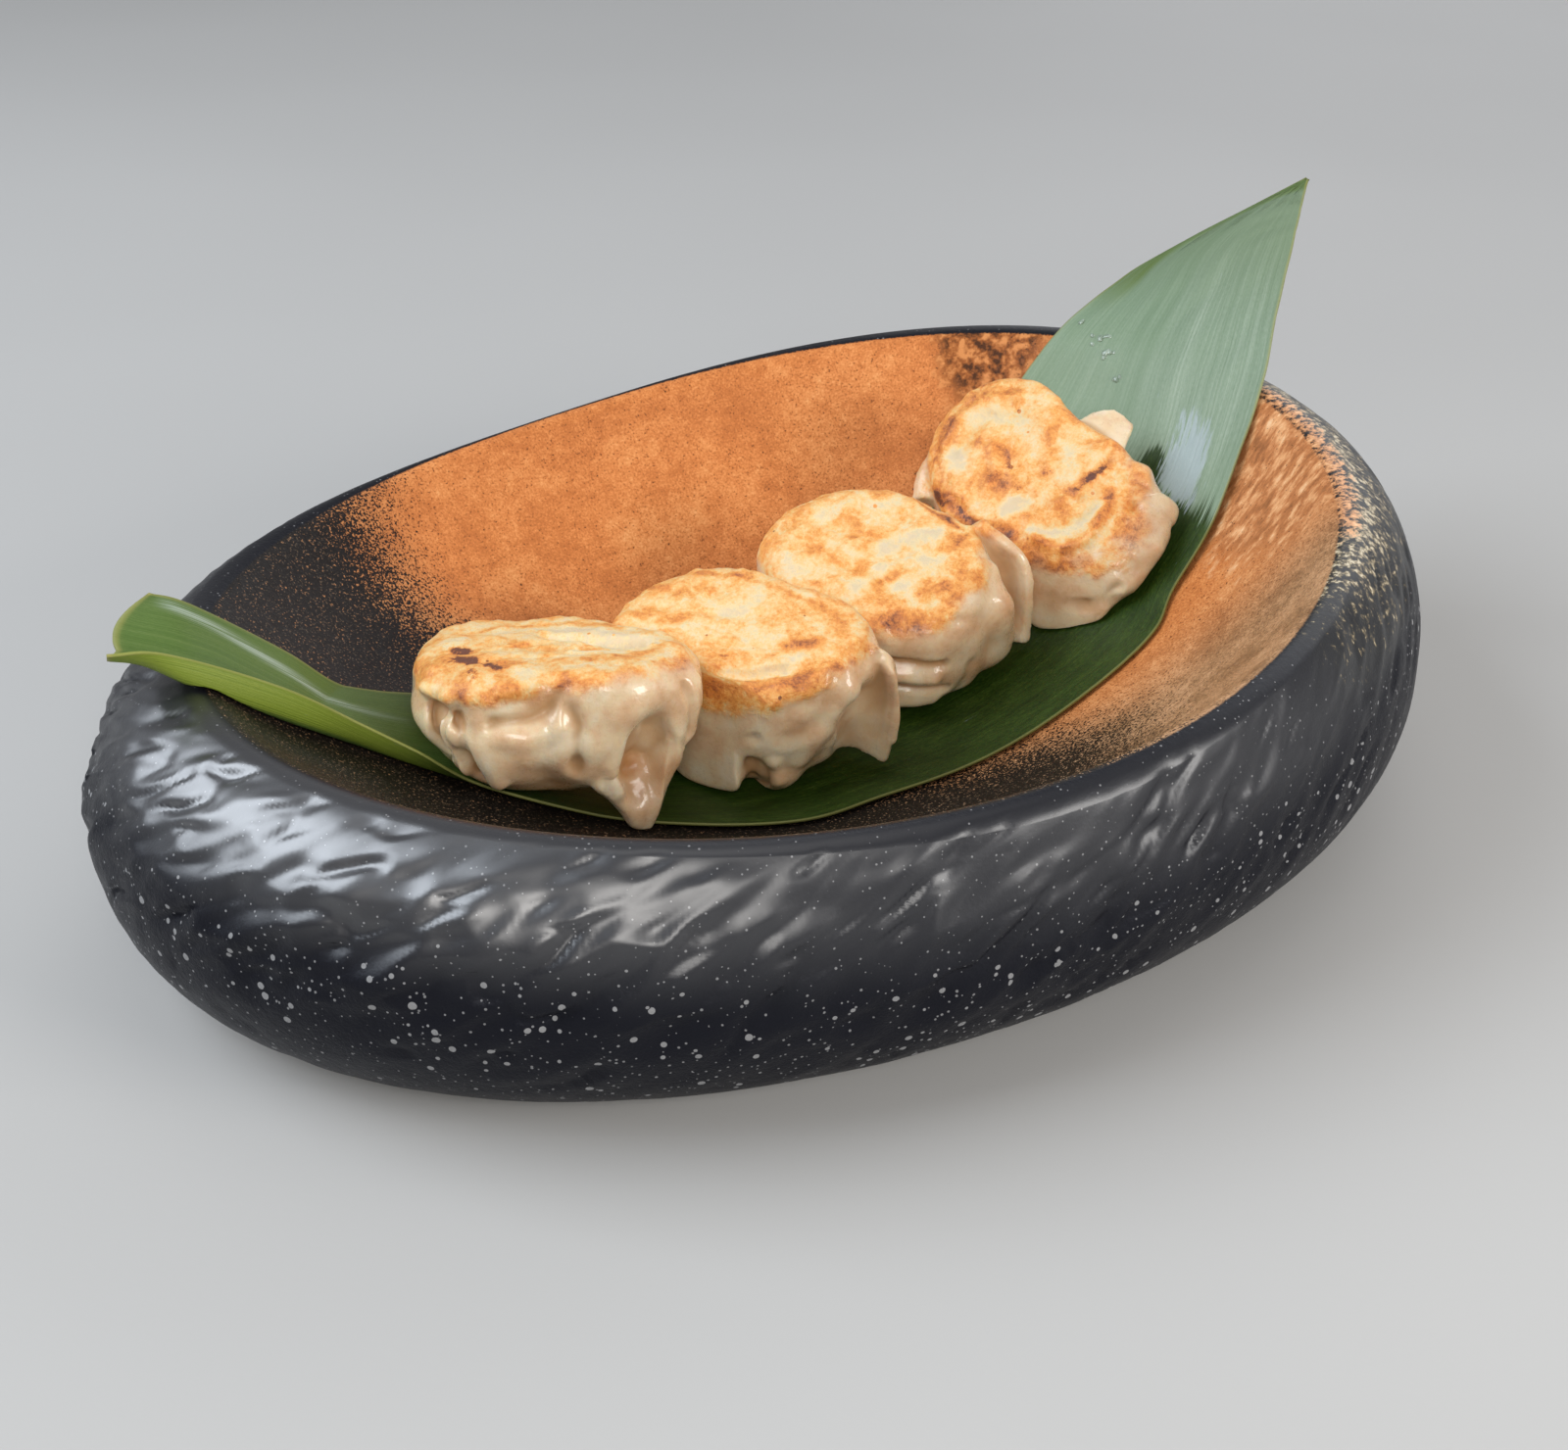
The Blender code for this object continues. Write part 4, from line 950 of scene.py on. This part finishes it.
DUMPLINGS["dumpling_4"] = dict(
    centre=(81, 9, 66), turn=(-68, 43, 4), outline=(27.5, 16.5, 15.5, 27, 32, 28, 27.5, 33), height=29,
    draw_in=0.1, shear=(4, -8), lean=(-0.6, 0, 0.8), crust=(-5, -1.6),
    flaps=[
        (2.4, [(1, 10, -8), (9, 8, -9), (16, 6, -10)],
         [(3, 17.5, -10), (8, 20, -11), (13.5, 18.5, -13)],
         (0, 0, 1.2)),
        (2.5, [(-26, -3, -9), (-26, -12, -9), (-24, -18, -9)],
         [(-29.5, -6, -7), (-31, -12, -8), (-29.5, -19, -9)],
         (0, 0, 1))],
    strokes=[
        (7.5, 15, [(35, -6, -10), (35, -18, -10), (26, -34, -10), (12, -40, -12)]),
        (3, 9, [(30, -34, -13), (20, -40, -14), (6, -42, -15)]),
        (-1.6, 4.5, [(22, -34, -8), (28, -31, -8), (34, -27, -8)]),
        (3, 5.5, [(25, 4, -3), (28, 6, -9), (31, 5, -17)]),
        (-2.5, 4.2, [(27.5, -2, -5), (30, 0, -15), (32, 0, -22)]),
        (-2, 4.5, [(16, -30, -27), (22, -28, -31)])],
    details=[
        (-3, 2.4, [(26.5, -5.5, -1.5), (31, -6, -6), (36, -6, -10)]),
        (1.8, 4.2, [(26, 1, -2), (30, 0, -6), (34, -1, -10)]),
        (-1.8, 2.2, [(24, -30, -8), (27.3, -27, -6.3), (30.4, -24.5, -5.2)]),
        (1.6, 4, [(31, -16, -5), (34, -12, -6)]),
        (-2.4, 3.8, [(18, -32, -8), (24.4, -30.2, -8), (28.6, -26, -7)]),
        (1.3, 2.4, [(8, -21, -0.6), (14, -22, -1), (20, -17, -0.6), (21, -9, -0.4)]),
        (-0.8, 1.8, [(8.4, -18.6), (13.5, -16), (17.5, -11.8), (18.5, -7.6)]),
        (0.8, 2.2, [(9, -11), (14.5, -6.5), (17, 0)]), (-0.7, 3, [(-2, -16), (2, -14)]),
        (0.7, 1.5, [(-9.4, -13.3), (-9, -8), (-13, -1.5)]),
        (0.7, 2.2, [(-25, -5.6, -0.6), (-24.6, 2.7, -0.6), (-20, 9, -0.4), (-12, 12.5)]),
        (-0.7, 2.6, [(-20, -6), (-17.5, 5), (-9, 7.4)]), (0.6, 2, [(-16, -16), (-8, -20, -1), (1, -19.5)])],
    toast=[
        (0.26, 2.6, [(9, -21.6, -0.4), (16, -21.4, -1), (20.6, -15.5, -0.6), (21.8, -8), (20, -4)]),
        (0.34, 2.8, [(16.4, 2.4), (15, -0.9), (13.1, -3.7), (11.4, -7.2)]),
        (0.26, 4, [(-15.8, -2.9), (-7, -3)]), (0.26, 3.4, [(-8, -9.5), (-1.6, -10.4)]),
        (0.2, 2.6, [(2.5, -4.2), (4, -4.4)]), (0.16, 3, [(9.2, -9.9), (13, -12)]),
        (0.34, 3.6, [(-22, -17, -3), (-16, -19, -2), (-8, -22, -1), (1.4, -21.8, -0.5)]),
        (0.22, 3.4, [(-25.2, -8, -0.6), (-25.6, 2.7, -0.6), (-21.9, 9.5, -0.4), (-13, 13.4, -0.3)]),
        (0.22, 2.6, [(6, -24, -1), (14, -26, -3), (22, -22, -2)]),
        (-0.3, 4, [(-20, 4.5), (-16, 6.4), (-9, 7)]), (-0.42, 3.6, [(-1.8, -16), (1.2, -13.6)]),
        (-0.24, 3, [(-20.7, -7.2), (-18, -9)]),
        (-0.3, 2.2, [(6, -19), (10, -18.6), (14.6, -16), (18, -11.8), (18.6, -8)]),
        (-0.14, 5, [(0.2, 9.2), (6.5, 7.1), (7, 0.3)]),
        (0.15, 3, [(26, -13, -1), (26, -5, -1), (25, 2, -1)]), (0.09, 90, [(0, 0)])],
    char=[
        (0.75, 1.2, [(-7.4, -4.4), (-6, -5.2)]), (0.5, 1.3, [(-5.8, -6.6), (-7.2, -8.6)]),
        (0.75, 1.1, [(-2.4, -10.2), (-1.4, -10.5)]), (0.6, 0.9, [(2.6, -4.2), (3.3, -4.4)]),
        (1, 1.6, [(16.2, 1.6), (15, -0.9)]), (0.8, 1.2, [(14.2, -2.4), (12.4, -6)]),
        (0.9, 1.3, [(20.9, -15, -0.5), (19.5, -17.4, -0.6)]),
        (0.5, 1.1, [(21.4, -11, -0.4), (21.6, -7.4)]),
        (0.5, 1, [(6, -21.4), (10.3, -22.7, -1), (15, -22.2, -1)]),
        (1, 1.6, [(-22, -18.2, -4), (-19, -19.2, -3)]),
        (1, 1.1, [(-13.9, -19.6, -1), (-10.5, -21.3, -1)]),
        (0.6, 1.6, [(-24.6, -14.6, -3.6), (-22.6, -16.8, -3.6)]), (0.6, 0.7, [(12.8, -12.6)])])

# Upright planes between neighbours: a point on each, and the direction it runs in plan.
CONTACTS = [((-30, 4), -68), ((6.5, 2), -62), ((56, 15), -61)]


def turning(yaw, tilt, roll):
    return (Matrix.Rotation(math.radians(yaw), 3, "Z") @ Matrix.Rotation(math.radians(roll), 3, "Y")
            @ Matrix.Rotation(math.radians(tilt), 3, "X"))


def reach_at(outline, angle):
    """Smooth reach of the outline at an angle, through its evenly spaced values."""
    step = 2 * math.pi / len(outline)
    i = math.floor(angle / step)
    t = angle / step - i
    return curve(*(outline[(i + k) % len(outline)] for k in (-1, 0, 1, 2)), t)


def body_rings(spec):
    """The dumpling's skin as rings round its axis, with the strokes pressed in."""
    rings = []
    for share, depth in spline(SECTION, BODY_STEPS)[1:-1]:
        share *= 1 - spec["draw_in"] * depth ** 2
        ring = []
        for angle in np.linspace(0, 2 * math.pi, BODY_SIDES, endpoint=False):
            reach = reach_at(spec["outline"], angle) * share
            ring.append((reach * math.cos(angle) + spec["shear"][0] * depth,
                         reach * math.sin(angle) + spec["shear"][1] * depth,
                         -spec["height"] * depth))
        rings.append(ring)
    rings = np.array(rings)
    for depth, radius, line in spec["strokes"]:
        rings = rings + ring_normals(rings) * (depth * nearness(rings, radius, line))[..., None]
    return rings


def plane_sides(index):
    """The contact planes of one dumpling, as (point, normal) with the normal towards it."""
    sides = []
    for k, sign in ((index - 1, 1), (index, -1)):
        if 0 <= k < len(CONTACTS):
            point, direction = CONTACTS[k]
            a = math.radians(direction)
            sides.append((np.array(point, float), sign * np.array([-math.sin(a), math.cos(a)])))
    return sides


def settle(points, index, trees, lean):
    """Flatten a dumpling against its neighbours and on what it lies on."""
    for origin, normal in plane_sides(index):
        away = (points[:, :2] - origin) @ normal - FOOD_GAP / 2
        kept = 0.5 * (away + np.sqrt(away ** 2 + SOFT_CONTACT ** 2))
        points[:, :2] += (kept - away)[:, None] * normal
    return kept_above(points, trees, FOOD_GAP, lean)


def tongue(thickness, root, edge, bow):
    """A thin flap of dough between its root line and its free edge, bowed, as a closed skin."""
    inner, outer = spline(root, FLAP_ROWS), spline(edge, FLAP_ROWS)
    grid = np.array([[a + (b - a) * t + 4 * t * (1 - t) * np.array(bow, float)
                      for t in np.linspace(0, 1, FLAP_COLUMNS)] for a, b in zip(inner, outer)])
    normal = np.cross(np.gradient(grid, axis=0), np.gradient(grid, axis=1))
    normal /= np.linalg.norm(normal, axis=2, keepdims=True)
    half = 0.5 * thickness * np.linspace(FLAP_ROOT, FLAP_EDGE, FLAP_COLUMNS)[:, None] * normal
    sheets = np.concatenate([(grid + half).reshape(-1, 3), (grid - half).reshape(-1, 3)])
    numbers = np.arange(FLAP_ROWS * FLAP_COLUMNS).reshape(FLAP_ROWS, FLAP_COLUMNS)
    count = numbers.size
    faces = grid_faces(FLAP_ROWS, FLAP_COLUMNS)
    faces += [tuple(count + v for v in reversed(f)) for f in faces]
    border = [*numbers[0], *numbers[1:, -1], *numbers[-1, -2::-1], *numbers[-2:0:-1, 0]]
    border = [int(n) for n in border]
    for a, b in zip(border, border[1:] + border[:1]):
        faces.append((a, b, count + b, count + a))
    return [tuple(p) for p in sheets], faces


def merged(parts):
    points, faces = [], []
    for part_points, part_faces in parts:
        base = len(points)
        points += part_points
        faces += [tuple(base + v for v in f) for f in part_faces]
    return points, faces


def painted(points, marks):
    """The sum of the marks' strengths at each point."""
    return sum(strength * nearness(points, radius, line) for strength, radius, line in marks)


def mesh_values(mesh, kind):
    values = np.empty(3 * len(mesh.vertices))
    mesh.vertices.foreach_get(kind, values)
    return values.reshape(-1, 3)


def softened(piece, steps):
    smooth = piece.modifiers.new("soften", "SMOOTH")
    smooth.factor = 0.5
    smooth.iterations = steps
    apply_modifiers(piece)


def hollows(mesh, rounds):
    """How far each vertex lies below its smoothed surroundings, in millimetres."""
    count = len(mesh.vertices)
    ends = np.empty(2 * len(mesh.edges), np.int32)
    mesh.edges.foreach_get("vertices", ends)
    a, b = ends.reshape(-1, 2).T
    degree = np.bincount(a, minlength=count) + np.bincount(b, minlength=count)
    start = mesh_values(mesh, "co") / MM
    smooth = start.T
    for _ in range(rounds):
        smooth = [(np.bincount(a, c[b], count) + np.bincount(b, c[a], count)) / degree for c in smooth]
    return ((np.stack(smooth, axis=1) - start) * mesh_values(mesh, "normal")).sum(axis=1)


def fried_share(points, spec, seed):
    """1 on the fried face and 0 on the pale sides, with a ragged border."""
    ragged = waves(points, 6.0, seed, 2)
    left, right = spec["crust"]
    border = left + (right - left) * smoothstep(-15, 20, points[:, 0])
    return smoothstep(-2.8, 2.2, points[:, 2] - border + 1.8 * ragged)


def rim_share(points, spec):
    """1 towards the border of the fried face."""
    angles = np.arctan2(points[:, 1], points[:, 0])
    reach = np.array([reach_at(spec["outline"], a) for a in angles])
    share = np.hypot(points[:, 0], points[:, 1]) / reach
    return smoothstep(0.72, 0.98, share) * smoothstep(-9, -2, points[:, 2])


def rounded_foot(world, spec, trees, weight):
    """Draw the sides in just above what the dumpling lies on, so that it doesn't look cut off."""
    up = Vector(spec["lean"]).normalized()
    middle = np.array(spec["centre"], float)[:2]
    drawn = world.copy()
    for i, p in enumerate(world):
        place = Vector(p)
        hits = [tree.ray_cast(place + up * PROBE, -up, 2 * PROBE)[0] for tree in trees]
        heights = [(place - hit).dot(up) for hit in hits if hit is not None]
        if heights and min(heights) < FOOT_RADIUS:
            left = FOOT_RADIUS - max(min(heights), 0.0)
            draw = FOOT_RADIUS - math.sqrt(FOOT_RADIUS ** 2 - left ** 2)
            off = p[:2] - middle
            reach = np.linalg.norm(off)
            drawn[i, :2] -= off / max(reach, TINY) * draw * weight[i] * min(reach / FOOT_MIDDLE, 1)
    return drawn


def make_dumpling(name, index, spec, trees, mat):
    """One dumpling: body and flaps in one skin, detailed, put in place and settled on the leaf."""
    sink = SECTION[-1][1]
    middle = (spec["shear"][0] * sink, spec["shear"][1] * sink, -spec["height"] * sink)
    parts = [loft(body_rings(spec), (0, 0, 0), middle)]
    parts += [tongue(*flap) for flap in spec["flaps"]]
    piece = add_piece(name + "_skin", *merged(parts), mat, "fried_dough", name)
    remesh = piece.modifiers.new("one_skin", "REMESH")
    remesh.mode = "VOXEL"
    remesh.voxel_size = VOXEL * MM
    softened(piece, SMOOTH_STEPS)
    points = mesh_values(piece.data, "co") / MM
    normals = mesh_values(piece.data, "normal")
    shaped = points.copy()
    for push, radius, line in spec["details"]:
        shaped += normals * (push * nearness(points, radius, line))[:, None]
    seed = 7.0 * index
    fry = fried_share(points, spec, seed)
    lumps = LUMP_HEIGHT * waves(points, LUMP_SIZE, seed + 3.0, 2)
    blisters = BLISTER_HEIGHT * fry * np.maximum(waves(points, BLISTER_SIZE, seed + 5.0, 2), -0.1)
    shaped += normals * (lumps + blisters)[:, None]
    for pull, radius, line in spec.get("pulls", ()):
        shaped += np.array(pull) * nearness(points, radius, line)[:, None]
    turned = np.array(turning(*spec["turn"]))
    tips = np.max([nearness(points, TIP_REACH, edge) for _, _, edge, _ in spec["flaps"]], axis=0)
    world = rounded_foot(shaped @ turned.T + np.array(spec["centre"]), spec, trees, 1 - tips)
    world = settle(world, index, trees, spec["lean"])
    piece.data.vertices.foreach_set("co", (world * MM).ravel())
    store(piece.data, "local", points + 31.0 * index)
    store(piece.data, "fry", fry)
    depth = -points[:, 2] / spec["height"]
    # browner towards the foot, partly a real stain and partly painted shade
    stain_and_shade = FOOT_STAIN_AND_SHADE * smoothstep(0.6, 1.05, depth) * (1 - tips)
    rim = RIM_TOAST * rim_share(points, spec)
    # toast: browning, paler places, and painted shade in the grooves and pockets
    store(piece.data, "toast", painted(points, spec["toast"]) + rim + stain_and_shade)
    char = [(CHAR_STRENGTH * share, CHAR_SPREAD * radius, line) for share, radius, line in spec["char"]]
    store(piece.data, "char", np.clip(painted(points, char), 0, 1))
    softened(piece, LAST_SMOOTH_STEPS)
    # how deep each hollow lies; the material paints the hollows darker as shade
    store(piece.data, "hollow", hollows(piece.data, HOLLOW_ROUNDS))
    piece.data.shade_smooth()
    return piece


# ---- room

CAMERA_PLACE = (-0.24772, -0.35264, 0.27063)
CAMERA_RIGHT = (0.82015, -0.57215, 0.0)
CAMERA_UP = (0.28694, 0.41131, 0.86515)
CAMERA_BACK = (-0.49499, -0.70956, 0.50151)
CAMERA_LENS = 49.3
SENSOR_WIDTH = 36.0
NEAREST = 0.01
STUDIO_TONE = (0.80, 0.81, 0.83, 1.0)
STUDIO_STRENGTH = 0.32
FLOOR_HALF = 40.0
FLOOR_TONES = [(0.3, (0.46, 0.455, 0.445)), (0.7, (0.49, 0.485, 0.475))]
AIM = (0, 0, 0.04)
WARM = (1.0, 0.97, 0.93)
# name: (place, size, power, colour)
LIGHTS = {"key": ((-0.9, 0.52, 0.94), (1.1, 1.0), 17.5, (0.85, 0.92, 1.0)),
          "front": ((-0.5, -0.82, 0.6), (0.4, 0.4), 4.4, WARM),
          "low_right": ((0.45, -1.0, 0.4), (0.5, 0.4), 7.5, WARM),
          "top": ((0.1, 0.0, 1.2), (0.7, 0.7), 1.2, (1.0, 0.98, 0.96)),
          "fill": ((1.2, 0.45, 0.7), (1.5, 1.1), 5.5, (0.94, 0.96, 1.0))}


def add_camera():
    data = bpy.data.cameras.new("camera")
    data.lens = CAMERA_LENS
    data.sensor_width = SENSOR_WIDTH
    data.clip_start = NEAREST
    camera = in_scene("camera", data)
    turn = Matrix((CAMERA_RIGHT, CAMERA_UP, CAMERA_BACK)).transposed()
    camera.matrix_world = Matrix.Translation(CAMERA_PLACE) @ turn.to_4x4()
    bpy.context.scene.camera = camera


def add_light(name, place, size, power, colour):
    """A soft rectangular light, aimed at the food."""
    data = bpy.data.lights.new(name, "AREA")
    data.shape = "RECTANGLE"
    data.size, data.size_y = size
    data.energy = power
    data.color = colour
    light = in_scene(name, data)
    light.location = place
    light.rotation_mode = "QUATERNION"
    light.rotation_quaternion = (Vector(AIM) - Vector(place)).to_track_quat("-Z", "Y")


def add_floor():
    mesh = bpy.data.meshes.new("floor")
    corners = [(x * FLOOR_HALF, y * FLOOR_HALF, 0) for x, y in ((-1, -1), (1, -1), (1, 1), (-1, 1))]
    mesh.from_pydata(corners, [], [(0, 1, 2, 3)])
    m = Material("floor_look")
    colour = m.ramp(m.noise(m.places(), 400.0), FLOOR_TONES)
    mesh.materials.append(m.finish(colour, 0.7, m.bump(m.noise(m.places(), 2.0), 0.02)))
    floor = in_scene("floor", mesh)
    floor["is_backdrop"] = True


def add_room():
    """Plain pale floor, soft studio light."""
    world = bpy.data.worlds.new("studio")
    world.use_nodes = True
    background = world.node_tree.nodes["Background"]
    background.inputs["Color"].default_value = STUDIO_TONE
    background.inputs["Strength"].default_value = STUDIO_STRENGTH
    bpy.context.scene.world = world
    add_floor()
    for name, settings in LIGHTS.items():
        add_light(name, *settings)
    bpy.context.scene.view_settings.view_transform = "Standard"


def main():
    add_camera()
    bowl = make_bowl()
    leaf = make_leaf(bowl)
    make_drops(leaf)
    trees = [surface_tree(bowl), surface_tree(leaf)]
    dough = dough_look()
    for index, (name, spec) in enumerate(DUMPLINGS.items()):
        make_dumpling(name, index, spec, trees, dough)
    add_room()
    boxes = {"cad": CAD_BOX, "visual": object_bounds()}
    boxes = {name: [list(corner) for corner in box] for name, box in boxes.items()}


main()
